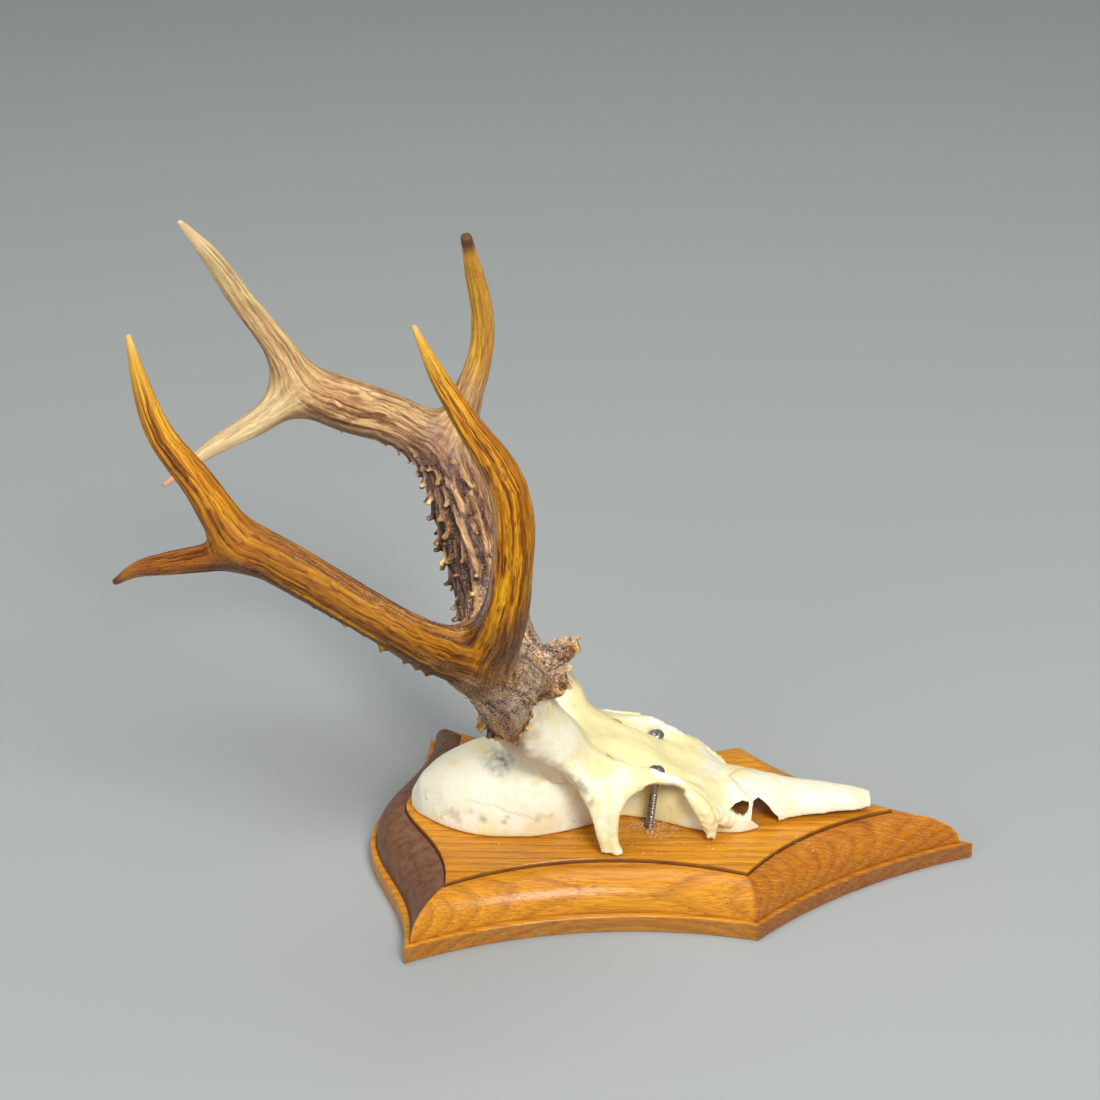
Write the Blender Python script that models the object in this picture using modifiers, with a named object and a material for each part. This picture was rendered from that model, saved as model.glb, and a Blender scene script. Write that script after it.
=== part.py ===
"""Roebuck antlers on their sawn skull, screwed to an oak shield that lies on its back.

Frame, in metres: the origin is the middle of the shield's length, on its back face. +X points to the
nose and the shield's point, +Y to the animal's left antler, +Z out of the shield.
"""
import math

import bmesh
import bpy
import numpy as np
from mathutils import Matrix, Vector

MM = 0.001
NAME = "roebuck_antlers_on_shield"
GAP = 0.3 * MM                         # air between pieces that touch

# shield
SHIELD_LENGTH = 240 * MM
CORNER_BACK = (-101.2 * MM, 78.6 * MM)     # x and half width at the wide end's corners
CORNER_SIDE = (31.9 * MM, 60.6 * MM)       # x and half width at the shoulders
SIDE_SAG = 12.8 * MM                       # how far the long sides curve in
FRONT_SAG = 6.4 * MM                       # how far the edges to the point curve in
EDGE_HEIGHT = 7.2 * MM
BEAD_TOP = 20.7 * MM
SHIELD_THICKNESS = 22.4 * MM
MOULD_SIDE = 11.5 * MM                     # width of the moulding along the sides
MOULD_BACK = 14.0 * MM                     # and along the wide end
LEDGE = 0.17                               # flat ledge, as a share of the moulding

# skull
SAWN_Z = SHIELD_THICKNESS + GAP
BONE = 3.0 * MM
NOTCH_X = 38.5 * MM                        # broken notch behind the nose bones
# where each screw stands and the height of the underside of its head
SCREW_PLACES = {"right": (-6.8 * MM, -15.6 * MM, 47.2 * MM), "left": (-6.5 * MM, 14.5 * MM, 46.2 * MM)}

# screws
HEAD_RADIUS = 3.4 * MM
HEAD_HEIGHT = 2.3 * MM
SHAFT_RADIUS = 1.7 * MM
SCREW_TIP_Z = 9.0 * MM

# antlers
CORONET_RADIUS = 16.5 * MM
CORONET_CENTRE = (-56.5, 21.0, 74.5)       # mm, animal's left; the right one is its mirror image
CORONET_AXIS = (-0.45, 0.17, 0.88)
# the tongue at the front of each coronet: distance from its middle, height and radius in mm
TONGUES = {"right": [(9, 11, 5.5), (15, 8, 4.8), (20.5, 4.5, 3.6)],
           "left": [(9, 4, 5), (14, 1.5, 4.2), (18.5, 0.8, 3.4)]}
TONGUE_TURN = math.radians(13)             # towards the middle of the head
PEARLS = 30

# middle lines of the limbs in mm, each point with its radius: x, distance from the middle plane, z, r
ROUTES = {
    "right": {
        "beam": [(-53, 18, 69, 13), (-57, 21, 76, 14.5), (-61, 36, 93, 15), (-67, 59, 115, 14),
                 (-77, 76, 131, 11.5), (-90, 84, 138, 9.3), (-105, 85, 148, 8), (-140, 76, 166, 8.3),
                 (-156, 72, 173, 8.0), (-167, 68, 192, 6.1), (-179, 65, 208, 5), (-185, 61, 223, 3.6),
                 (-191, 56, 242, 0.9)],
        "front_tine": [(-71, 70, 125, 12), (-62.5, 83, 148, 8.8), (-59.3, 87, 167, 7.4),
                       (-58.3, 87.5, 188, 7.2), (-62, 83.5, 203, 6.7), (-72, 74, 218, 5.6),
                       (-84, 62, 231, 3.7), (-93, 48, 243, 0.9)],
        "rear_tine": [(-155, 72, 170, 7.5), (-168, 68, 163.5, 4.8), (-182, 60.5, 157, 4.3),
                      (-195, 51, 150, 2.9), (-207, 42, 140, 0.9)],
    },
    "left": {
        "beam": [(-53, 18, 67, 12), (-59, 21.5, 73.5, 12.4), (-68.5, 36, 81.5, 12.8), (-74, 52, 95, 13.6),
                 (-80.5, 66, 112, 13.2), (-85.5, 76, 128, 12.2), (-94, 82.5, 142, 10.6), (-110, 84, 154, 9.8),
                 (-133, 80, 161, 9.2), (-149, 76, 171, 8.8), (-158, 72, 190, 5.6), (-171, 69, 209, 4),
                 (-181, 64, 228, 2.9), (-191, 58, 245, 0.9)],
        "front_tine": [(-90, 83, 142, 10.5), (-84, 86, 160, 6.8), (-78, 86, 180, 4.8), (-77, 82, 199, 4.2),
                       (-80, 73, 220, 3.3), (-82, 62, 238, 1.7)],
        "rear_tine": [(-152, 75, 168, 8), (-166, 66, 160, 4.8), (-183, 54, 153, 3.2), (-201, 40, 142, 0.9)],
    },
}
# where each tine leaves its beam: limb and how far along its route, in points
FORKS = {"front_tine": 1.0, "rear_tine": 0.95}
SIDES = {"right": -1, "left": 1}

# sections of the skull in mm: x, half width, height of the top, height of the edge, squareness
VAULT = [(-103, 3, 28, 22.7, 2), (-101, 8, 33, 22.7, 2), (-97, 13, 38, 22.7, 2), (-89, 19, 44, 22.7, 2),
         (-78, 23.5, 49, 22.7, 2), (-65, 25.3, 53, 22.7, 2), (-52, 24, 56, 22.7, 2),
         (-43, 21.5, 57.5, 22.7, 2.2), (-33, 17, 55.5, 22.7, 2.4), (-25, 10.5, 51.5, 22.7, 3),
         (-18, 9.5, 48, 22.7, 3),
         (-5, 12.5, 43.5, 22.7, 4), (14, 18.5, 38.5, 22.7, 3), (30, 16, 36, 22.7, 2.6),
         (43, 11.5, 35, 23.5, 2.4), (60, 10, 33, 25, 2.3), (72, 8, 31, 25.5, 2.3), (78, 5.5, 29.8, 26, 2.2)]
BROW = [(-54, 15, 57, 52, 3), (-44, 22, 60, 49, 3), (-32, 28, 57.5, 46, 3), (-20, 30.8, 53.5, 45.3, 4),
        (-9, 26.3, 51.5, 48, 5), (-1, 22.3, 48, 46, 4), (8, 21.5, 43.5, 39, 3), (14, 20.5, 39.5, 34, 2.4),
        (24, 17, 36, 28, 2)]
BROW_DIP = [(-60, 0), (-40, 0), (-20, 0.5), (-8, 1.5), (-2, 3.0), (5, 2.5), (20, 0), (90, 0)]
# bars that stand on the skull: points with radius, mirrored to both sides
ORBIT_BAR = [(-52, 22, 60, 8), (-41, 25.5, 54, 8), (-32, 29, 47, 7), (-27.5, 32.2, 41.5, 5.6),
             (-26.2, 34.4, 36, 4.4), (-25.2, 36, 29, 3.6), (-23.8, 36.6, 24, 3.3)]
TEAR_BAR = [(5, 21, 42, 2.5), (9, 22, 37.5, 3.2), (12.5, 23.5, 33, 3.6), (14.3, 24.8, 28.5, 2.9),
            (14.8, 25.8, 24.3, 2.2)]
PEDICLE = [(-40, 12, 50, 11), (-46, 16, 60, 12.5), (-53, 19.5, 69, 13.5), (-58, 21.5, 78, 14)]

MATERIALS = {
    "oak": ((0.42, 0.17, 0.035), 0.35),
    "bone": ((0.83, 0.76, 0.56), 0.55),
    "antler": ((0.36, 0.17, 0.045), 0.45),
    "steel": ((0.32, 0.31, 0.30), 0.35),
}


# ---------------------------------------------------------------- helpers
def clear_scene():
    for thing in list(bpy.data.objects):
        bpy.data.objects.remove(thing, do_unlink=True)


def collection(name):
    made = bpy.data.collections.new(name)
    bpy.context.scene.collection.children.link(made)
    return made


def material(name):
    colour, roughness = MATERIALS[name]
    made = bpy.data.materials.get(name)
    if made is None:
        made = bpy.data.materials.new(name)
        made.use_nodes = True
        shader = made.node_tree.nodes["Principled BSDF"]
        shader.inputs["Base Color"].default_value = (*colour, 1.0)
        shader.inputs["Roughness"].default_value = roughness
        shader.inputs["Metallic"].default_value = 1.0 if name == "steel" else 0.0
    return made


def add_object(name, mesh, group, finish=None, smooth=True):
    made = bpy.data.objects.new(name, mesh)
    group.objects.link(made)
    if finish:
        mesh.materials.clear()
        mesh.materials.append(material(finish))
    if smooth:
        mesh.shade_smooth()
        mesh.set_sharp_from_angle(angle=math.radians(35))
    return made


def add_cutter(name, mesh):
    made = add_object(name, mesh, CUTTERS, smooth=False)
    made.hide_render = True
    made.display_type = "WIRE"
    return made


def cut(target, cutter):
    change = target.modifiers.new("cut_" + cutter.name, "BOOLEAN")
    change.operation = "DIFFERENCE"
    change.solver = "EXACT"
    change.object = cutter


def bake(thing):
    """The object's evaluated mesh, with its modifiers applied."""
    bpy.context.view_layer.update()
    graph = bpy.context.evaluated_depsgraph_get()
    return bpy.data.meshes.new_from_object(thing.evaluated_get(graph))


def mesh_from(builder, name):
    """A mesh filled by a function that adds to a bmesh."""
    shape = bmesh.new()
    builder(shape)
    bmesh.ops.recalc_face_normals(shape, faces=shape.faces)
    mesh = bpy.data.meshes.new(name)
    shape.to_mesh(mesh)
    shape.free()
    return mesh


def cylinder(shape, centre, axis, radius, length, segments=24):
    turn = Vector(axis).to_track_quat("Z", "Y").to_matrix().to_4x4()
    place = Matrix.Translation(Vector(centre)) @ turn
    bmesh.ops.create_cone(shape, cap_ends=True, segments=segments, radius1=radius, radius2=radius,
                          depth=length, matrix=place)


def smooth_line(points, per_span=5):
    """A smooth curve through the points (any number of columns), by Catmull-Rom spans."""
    rows = np.array(points, float)
    ends = np.vstack([2 * rows[0] - rows[1], rows, 2 * rows[-1] - rows[-2]])
    line = []
    for a, b, c, d in zip(ends, ends[1:], ends[2:], ends[3:]):
        for t in np.linspace(0, 1, per_span, endpoint=False):
            line.append(0.5 * (2 * b + (c - a) * t + (2 * a - 5 * b + 4 * c - d) * t * t
                               + (3 * b - a - 3 * c + d) * t ** 3))
    line.append(rows[-1])
    return np.array(line)


def tube_mesh(name, route, side=1, segments=3):
    """A round limb along a route in mm: a curve with a radius at each point, made a closed mesh."""
    line = smooth_line(route)
    curve = bpy.data.curves.new(name, "CURVE")
    curve.dimensions = "3D"
    curve.bevel_depth = 1.0 * MM
    curve.bevel_resolution = segments
    curve.use_fill_caps = True
    spline = curve.splines.new("POLY")
    spline.points.add(len(line) - 1)
    for point, (x, y, z, r) in zip(spline.points, line):
        point.co = (x * MM, side * y * MM, z * MM, 1.0)
        point.radius = max(r, 0.5)
    holder = bpy.data.objects.new(name, curve)
    bpy.context.scene.collection.objects.link(holder)
    mesh = bake(holder)
    bpy.data.objects.remove(holder, do_unlink=True)
    shape = bmesh.new()
    shape.from_mesh(mesh)
    bmesh.ops.remove_doubles(shape, verts=shape.verts, dist=0.01 * MM)
    bmesh.ops.recalc_face_normals(shape, faces=shape.faces)
    shape.to_mesh(mesh)
    shape.free()
    return mesh


def fuse(name, meshes, voxel, faces, softening=2):
    """Overlapping closed meshes grown together as one skin, thinned to about this many triangles."""
    shape = bmesh.new()
    for mesh in meshes:
        shape.from_mesh(mesh)
    whole = bpy.data.meshes.new(name)
    shape.to_mesh(whole)
    shape.free()
    holder = bpy.data.objects.new(name, whole)
    bpy.context.scene.collection.objects.link(holder)
    skin = holder.modifiers.new("skin", "REMESH")
    skin.mode = "VOXEL"
    skin.voxel_size = voxel
    soft = holder.modifiers.new("soft", "SMOOTH")
    soft.factor = 0.5
    soft.iterations = softening
    fine = bake(holder)
    thin = holder.modifiers.new("thin", "DECIMATE")
    thin.ratio = faces / (2.0 * len(fine.polygons))
    mesh = bake(holder)
    bpy.data.objects.remove(holder, do_unlink=True)
    return mesh


# ---------------------------------------------------------------- shield
def arc_between(a, b, sag, count):
    """Points from a to b on an arc that bows by sag to the left of the line."""
    a, b = np.array(a), np.array(b)
    chord = b - a
    half = np.linalg.norm(chord) / 2
    along = chord / (2 * half)
    left = np.array([-along[1], along[0]])
    radius = (half * half + sag * sag) / (2 * sag)
    middle = (a + b) / 2 - left * (radius - sag)
    angles = np.linspace(-1, 1, count) * math.asin(half / radius)
    return middle + radius * (np.outer(np.sin(angles), along) + np.outer(np.cos(angles), left))


def wide_end(count):
    """The wide end, from the left back corner to the right one, with its round bulge."""
    half_width = CORNER_BACK[1]
    y = np.linspace(1, -1, count) * half_width
    bulge = SHIELD_LENGTH / 2 + CORNER_BACK[0]
    swell = (0.5 * (1 + np.cos(np.pi * y / half_width))) ** 1.3
    return np.column_stack([CORNER_BACK[0] - bulge * swell, y])


def shield_sides():
    """The five sides in turn, seen from above anticlockwise, each with its moulding's width."""
    back_x, back_y = CORNER_BACK
    side_x, side_y = CORNER_SIDE
    point = (SHIELD_LENGTH / 2, 0.0)
    right = arc_between((back_x, -back_y), (side_x, -side_y), SIDE_SAG, 13)
    right_front = arc_between((side_x, -side_y), point, FRONT_SAG, 9)
    left_front = right_front[::-1] * (1, -1)
    left = right[::-1] * (1, -1)
    return [(wide_end(21), MOULD_BACK), (right, MOULD_SIDE), (right_front, MOULD_SIDE),
            (left_front, MOULD_SIDE), (left, MOULD_SIDE)]


def side_normals(side):
    along = np.gradient(side, axis=0)
    along /= np.linalg.norm(along, axis=1)[:, None]
    return np.column_stack([-along[:, 1], along[:, 0]])


def shield_ring(inset):
    """The outline moved in by a share of the moulding's width, mitred at the five corners."""
    sides = shield_sides()
    normals = [side_normals(side) for side, _ in sides]
    widths = [width for _, width in sides]
    mitres = []
    for i in range(len(sides)):
        j = (i + 1) % len(sides)
        both = np.array([normals[i][-1], normals[j][0]])
        mitres.append(np.linalg.solve(both, np.array([widths[i], widths[j]])))
    ring = []
    for i, (side, width) in enumerate(sides):
        t = np.linspace(0, 1, len(side))[:, None]
        start = mitres[i - 1] - width * normals[i][0]
        end = mitres[i] - width * normals[i][-1]
        moved = side + inset * (width * normals[i] + (1 - t) * start + t * end)
        ring.extend(moved[:-1])
    return np.array(ring)


def shield_profile():
    """Steps of the edge from the back face up: share of the moulding's width, and height."""
    profile = [(0.0, 0.0), (0.0, EDGE_HEIGHT - 0.6 * MM), (0.04, EDGE_HEIGHT), (LEDGE, EDGE_HEIGHT)]
    for turn in (0, 20, 40, 60, 88):
        t = math.radians(turn)
        inset = LEDGE + (1 - LEDGE) * (1 - math.cos(t)) / (1 - math.cos(math.radians(88)))
        profile.append((inset, EDGE_HEIGHT + 0.7 * MM + (BEAD_TOP - EDGE_HEIGHT - 0.7 * MM) * math.sin(t)))
    profile.append((1.02, SHIELD_THICKNESS))
    return profile


def make_plaque():
    def build(shape):
        rings = []
        for inset, z in shield_profile():
            rings.append([shape.verts.new((x, y, z)) for x, y in shield_ring(inset)])
        for low, high in zip(rings, rings[1:]):
            for i in range(len(low)):
                j = (i + 1) % len(low)
                shape.faces.new((low[i], low[j], high[j], high[i]))
        shape.faces.new(rings[0][::-1])
        shape.faces.new(rings[-1])

    plaque = add_object("plaque", mesh_from(build, "plaque"), PARTS, "oak")
    for side, (x, y, _) in SCREW_PLACES.items():
        bottom = SCREW_TIP_Z - 1.0 * MM
        height = SHIELD_THICKNESS + 2 * MM - bottom
        hole = mesh_from(lambda shape: cylinder(shape, (x, y, bottom + height / 2), (0, 0, 1),
                                                SHAFT_RADIUS + GAP, height, 20), side + "_pilot")
        cut(plaque, add_cutter(side + "_pilot", hole))
    return plaque


# ---------------------------------------------------------------- screws
def make_screw(side):
    x, y, head_z = SCREW_PLACES[side]
    profile = [(0, HEAD_HEIGHT), (0.45 * HEAD_RADIUS, 0.94 * HEAD_HEIGHT),
               (0.8 * HEAD_RADIUS, 0.7 * HEAD_HEIGHT), (HEAD_RADIUS, 0.25 * HEAD_HEIGHT),
               (HEAD_RADIUS, 0.0), (SHAFT_RADIUS, 0.0),
               (SHAFT_RADIUS, SCREW_TIP_Z + 5 * MM - head_z), (0.2 * SHAFT_RADIUS, SCREW_TIP_Z - head_z),
               (0, SCREW_TIP_Z - head_z)]
    mesh = bpy.data.meshes.new(side + "_screw")
    mesh.from_pydata([(r, 0, z) for r, z in profile], [(i, i + 1) for i in range(len(profile) - 1)], [])
    screw = add_object(side + "_screw", mesh, PARTS, "steel", smooth=False)
    screw.location = (x, y, head_z)
    turned = screw.modifiers.new("turned", "SCREW")
    turned.axis = "Z"
    turned.angle = math.tau
    turned.steps = 24
    turned.render_steps = 24
    turned.use_merge_vertices = True
    turned.merge_threshold = 0.00001
    slot = mesh_from(lambda shape: bmesh.ops.create_cube(
        shape, size=1.0, matrix=Matrix.Translation((x, y, head_z + HEAD_HEIGHT))
        @ Matrix.Rotation(math.radians(75), 4, "Z") @ Matrix.Diagonal((12 * MM, 1.0 * MM, 1.8 * MM, 1.0))),
        side + "_slot")
    cut(screw, add_cutter(side + "_slot", slot))
    return screw


# ---------------------------------------------------------------- skull
def arch_sheet(stations, name, dip=None):
    """A thin bone sheet over arched sections, thickened inwards."""
    line = smooth_line(stations, 3)
    span = np.sin(np.linspace(-1, 1, 19) * math.pi / 2)

    def build(shape):
        rows = []
        for x, width, top, edge, square in line:
            low = np.interp(x, *np.array(dip).T) if dip else 0.0
            row = []
            for s in span:
                z = edge + (top - edge) * (1 - abs(s) ** square) ** (1 / 2.0)
                z -= low * (1 - s * s) ** 2
                row.append(shape.verts.new((x * MM, s * width * MM, z * MM)))
            rows.append(row)
        for a, b in zip(rows, rows[1:]):
            for i in range(len(a) - 1):
                shape.faces.new((a[i], b[i], b[i + 1], a[i + 1]))

    shape = bmesh.new()
    build(shape)
    mesh = bpy.data.meshes.new(name)
    shape.to_mesh(mesh)
    shape.free()
    sheet = bpy.data.objects.new(name, mesh)
    bpy.context.scene.collection.objects.link(sheet)
    thick = sheet.modifiers.new("bone", "SOLIDIFY")
    thick.thickness = BONE
    thick.offset = -1.0
    made = bake(sheet)
    bpy.data.objects.remove(sheet, do_unlink=True)
    return made


def occiput():
    """The closed back of the brain case."""
    def build(shape):
        place = Matrix.Translation((-99 * MM, 0, 24 * MM)) @ Matrix.Diagonal((3.5, 10, 10, 1))
        bmesh.ops.create_uvsphere(shape, u_segments=20, v_segments=12, radius=1.0 * MM, matrix=place)
    return mesh_from(build, "occiput")


def coronet_frame(side):
    """Centre in metres and outward axis of one coronet."""
    x, y, z = CORONET_CENTRE
    a, b, c = CORONET_AXIS
    sign = SIDES[side]
    return Vector((x, sign * y, z)) * MM, Vector((a, sign * b, c)).normalized()


def make_skull():
    pieces = [arch_sheet(VAULT, "vault"), arch_sheet(BROW, "brow", BROW_DIP), occiput()]
    for sign in SIDES.values():
        for name, route in (("orbit_bar", ORBIT_BAR), ("tear_bar", TEAR_BAR), ("pedicle", PEDICLE)):
            pieces.append(tube_mesh(name, route, sign))
    skull = add_object("skull", fuse("skull", pieces, 1.3 * MM, 2480, 3), PARTS, "bone")
    below = mesh_from(lambda shape: bmesh.ops.create_cube(
        shape, size=1.0, matrix=Matrix.Translation((0, 0, SAWN_Z - 15 * MM))
        @ Matrix.Diagonal((0.3, 0.2, 30 * MM, 1.0))), "saw_cut")
    cut(skull, add_cutter("saw_cut", below))
    notch = mesh_from(lambda shape: bmesh.ops.create_cube(
        shape, size=1.0, matrix=Matrix.Translation((NOTCH_X, 0, SAWN_Z - 1 * MM))
        @ Matrix.Rotation(math.radians(45), 4, "Y") @ Matrix.Diagonal((9 * MM, 80 * MM, 9 * MM, 1.0))),
        "nose_notch")
    cut(skull, add_cutter("nose_notch", notch))
    for side in SIDES:
        centre, axis = coronet_frame(side)
        top = mesh_from(lambda shape: cylinder(shape, centre + axis * (20 * MM - 1.8 * MM), axis,
                                               19.0 * MM, 40 * MM, 32), side + "_coronet_seat")
        cut(skull, add_cutter(side + "_coronet_seat", top))
        x, y, head_z = SCREW_PLACES[side]

        def bore(shape):
            cylinder(shape, (x, y, 40 * MM), (0, 0, 1), SHAFT_RADIUS + 0.4 * MM, 40 * MM, 20)

        def seat(shape):
            cylinder(shape, (x, y, head_z - GAP + 10 * MM), (0, 0, 1), HEAD_RADIUS + 0.5 * MM, 20 * MM, 24)

        cut(skull, add_cutter(side + "_bore", mesh_from(bore, side + "_bore")))
        cut(skull, add_cutter(side + "_seat", mesh_from(seat, side + "_seat")))
    return skull


# ---------------------------------------------------------------- antlers
def coronet_lumps(shape, side):
    """The ring of lumps round the foot of an antler."""
    centre, axis = coronet_frame(side)
    turn = axis.to_track_quat("Z", "Y").to_matrix().to_4x4()
    place = Matrix.Translation(centre) @ turn
    count = 17
    for i in range(count):
        angle = math.tau * i / count
        size = (2.7 + 0.8 * math.sin(5.3 * i + SIDES[side])) * MM
        spot = Vector((CORONET_RADIUS * math.cos(angle), CORONET_RADIUS * math.sin(angle), 1.2 * MM))
        lump = place @ Matrix.Translation(spot) @ Matrix.Rotation(angle, 4, "Z")
        lump = lump @ Matrix.Diagonal((1.2, 1, 1.2, 1))
        bmesh.ops.create_icosphere(shape, subdivisions=2, radius=size, matrix=lump)
    cylinder(shape, centre + axis * 1.5 * MM, axis, CORONET_RADIUS - 0.5 * MM, 5 * MM, 32)


def coronet_tongue(side):
    """The long lobe that stands out at the front of a coronet."""
    centre, axis = coronet_frame(side)
    front = (Vector((1, 0, 0)) - axis * axis.x).normalized()
    inner = front.cross(axis) * SIDES[side]
    out = front * math.cos(TONGUE_TURN) + inner * math.sin(TONGUE_TURN)
    route = []
    for reach, height, radius in TONGUES[side]:
        spot = centre / MM + out * reach + axis * height
        route.append((*spot, radius))
    return tube_mesh(side + "_tongue", route)


def pearl_rows(shape, side):
    """Pearls on the inner and rear faces of the lower beam."""
    line = smooth_line(ROUTES[side]["beam"], 12)
    sign = SIDES[side]
    last = int(len(line) * 0.42)
    for i in range(PEARLS):
        step = 14 + int((last - 14) * (i / PEARLS))
        x, y, z, r = line[step]
        along = Vector(line[step + 1][:3] - line[step - 1][:3])
        along.y *= sign
        along.normalize()
        inward = Vector((-0.55, -0.8 * sign, 0.1))
        inward = (inward - along * inward.dot(along)).normalized()
        swing = math.radians((-55, 5, 50)[i % 3] + 14 * math.sin(2.7 * i))
        out = Matrix.Rotation(swing, 3, along) @ inward
        size = (1.9 + 0.7 * math.sin(1.9 * i + 1)) * MM
        spot = Vector((x, sign * y, z)) * MM + out * (r * MM + 0.2 * size)
        place = Matrix.Translation(spot) @ out.to_track_quat("Z", "Y").to_matrix().to_4x4()
        bmesh.ops.create_icosphere(shape, subdivisions=2, radius=size,
                                   matrix=place @ Matrix.Diagonal((1, 1, 1.6, 1)))


def fork_saw(side, limb):
    """A thin round blade across the foot of a tine."""
    line = smooth_line(ROUTES[side][limb], 20)
    here = int(round(FORKS[limb] * 20))
    sign = SIDES[side]
    centre = Vector((line[here][0], sign * line[here][1], line[here][2])) * MM
    along = Vector(line[here + 1][:3] - line[here - 1][:3])
    along.y *= sign
    radius = (line[here][3] + 3.0) * MM
    return mesh_from(lambda shape: cylinder(shape, centre, along.normalized(), radius, GAP, 28),
                     side + "_" + limb + "_saw")


def loose_parts(mesh):
    """The separate bodies of a mesh, each as a mesh of its own."""
    shape = bmesh.new()
    shape.from_mesh(mesh)
    left = set(shape.verts)
    groups = []
    while left:
        seed = left.pop()
        group = {seed}
        front = [seed]
        while front:
            for edge in front.pop().link_edges:
                for vert in edge.verts:
                    if vert in left:
                        left.discard(vert)
                        group.add(vert)
                        front.append(vert)
        groups.append([vert.index for vert in group])
    shape.free()
    parts = []
    for group in groups:
        part = bmesh.new()
        part.from_mesh(mesh)
        part.verts.ensure_lookup_table()
        keep = set(group)
        bmesh.ops.delete(part, geom=[v for v in part.verts if v.index not in keep], context="VERTS")
        made = bpy.data.meshes.new("part")
        part.to_mesh(made)
        part.free()
        parts.append(made)
    return parts


def make_antler(side):
    """One antler grown as a whole, then divided at its two forks."""
    sign = SIDES[side]
    limbs = [tube_mesh(name, route, sign) for name, route in ROUTES[side].items()]
    lumps = mesh_from(lambda shape: coronet_lumps(shape, side), side + "_coronet")
    pearls = mesh_from(lambda shape: pearl_rows(shape, side), side + "_pearls")
    grown = limbs + [lumps, pearls, coronet_tongue(side)]
    skin = fuse(side + "_antler", grown, 1.1 * MM, 2220, 2)
    whole = add_object(side + "_antler", skin, CUTTERS, smooth=False)
    centre, axis = coronet_frame(side)
    foot = mesh_from(lambda shape: cylinder(shape, centre - axis * (15 * MM + 1.5 * MM), axis, 30 * MM,
                                            30 * MM, 32), side + "_foot_cut")
    cut(whole, add_cutter(side + "_foot_cut", foot))
    for limb in FORKS:
        cut(whole, add_cutter(side + "_" + limb + "_saw", fork_saw(side, limb)))
    parts = loose_parts(bake(whole))
    bpy.data.objects.remove(whole, do_unlink=True)
    tips = {}
    for limb, route in ROUTES[side].items():
        x, y, z, _ = route[-1]
        tips[limb] = Vector((x, sign * y, z)) * MM
    for limb, tip in tips.items():
        nearest = min(parts, key=lambda mesh: min((v.co - tip).length for v in mesh.vertices))
        add_object(side + "_" + limb, nearest, PARTS, "antler")
    if len(parts) != len(tips):
        raise RuntimeError(side + " antler fell into %d parts" % len(parts))


clear_scene()
PARTS = collection(NAME)
CUTTERS = collection("cutters")
make_plaque()
make_skull()
for antler_side in SIDES:
    make_antler(antler_side)
    make_screw(antler_side)
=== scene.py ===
"""Roebuck antlers on their sawn skull, screwed to an oak shield that lies on its back: the finished look."""

import itertools
import math

import bmesh
import bpy
import numpy as np
from mathutils import Matrix, Vector


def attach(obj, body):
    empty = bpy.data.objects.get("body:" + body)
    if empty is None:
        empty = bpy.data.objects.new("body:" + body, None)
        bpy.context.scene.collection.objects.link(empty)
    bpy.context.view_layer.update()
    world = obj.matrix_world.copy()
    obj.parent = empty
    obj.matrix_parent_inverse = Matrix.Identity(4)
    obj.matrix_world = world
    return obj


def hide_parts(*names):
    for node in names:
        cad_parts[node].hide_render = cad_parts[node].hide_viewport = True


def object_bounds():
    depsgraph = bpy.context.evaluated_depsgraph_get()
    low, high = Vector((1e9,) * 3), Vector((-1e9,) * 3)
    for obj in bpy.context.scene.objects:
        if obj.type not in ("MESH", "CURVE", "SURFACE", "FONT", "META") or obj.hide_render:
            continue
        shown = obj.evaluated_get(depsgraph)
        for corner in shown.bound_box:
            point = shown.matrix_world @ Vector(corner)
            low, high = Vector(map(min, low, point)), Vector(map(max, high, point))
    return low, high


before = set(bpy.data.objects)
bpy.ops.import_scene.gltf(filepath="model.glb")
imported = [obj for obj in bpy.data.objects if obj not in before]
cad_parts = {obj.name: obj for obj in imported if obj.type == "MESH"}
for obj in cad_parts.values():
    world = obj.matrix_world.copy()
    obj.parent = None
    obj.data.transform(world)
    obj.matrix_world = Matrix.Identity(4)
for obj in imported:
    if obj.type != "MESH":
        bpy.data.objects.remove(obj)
CAD_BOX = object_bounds()
MM = 0.001
VOXEL = 0.66 * MM                          # cells in which overlapping shapes grow together

# camera, from the photograph's perspective
CAMERA_PLACE = (-27.1 * MM, -877.0 * MM, 553.1 * MM)
CAMERA_PITCH = math.radians(25.5)          # downwards
CAMERA_YAW = math.radians(1.37)            # towards the wide end
CAMERA_ROLL = math.radians(-0.14)
CAMERA_LENS = 84.1                         # mm
CAMERA_SENSOR = 36.0

# lamps, in metres: place, aim, size, power, colour
LAMPS = {"key": ((0.55, -1.45, 1.45), (-0.02, 0, 0.08), (0.7, 0.7), 36, (1.0, 0.99, 0.965)),
         "overhead": ((-0.1, 0.2, 2.2), (-0.02, 0, 0.05), (1.8, 1.4), 22, (0.97, 0.985, 1.0)),
         "fill": ((-1.3, -1.6, 1.0), (-0.05, 0, 0.1), (1.2, 1.2), 12, (0.97, 0.985, 1.0))}
ROOM_LIGHT = (0.78, 0.80, 0.82, 1.0)
ROOM_STRENGTH = 0.31
TABLE = (0.375, 0.393, 0.387, 1.0)

# shield; lengths here and below are in mm
SHIELD_LENGTH = 240
CORNER_BACK = (-101.2, 78.6)
CORNER_SIDE = (31.9, 60.6)
SIDE_SAG = 12.8
FRONT_SAG = 6.4
EDGE_HEIGHT = 7.2
BEAD_TOP = 20.7
SHIELD_THICKNESS = 22.4
MOULD_SIDE = 11.5
MOULD_BACK = 14.0
LEDGE = 0.17                               # flat ledge, as a share of the moulding
GROOVE = 1.03                              # where the groove above the bead ends, in the same share
END_POINTS, SIDE_POINTS, FRONT_POINTS = 101, 81, 61

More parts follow.
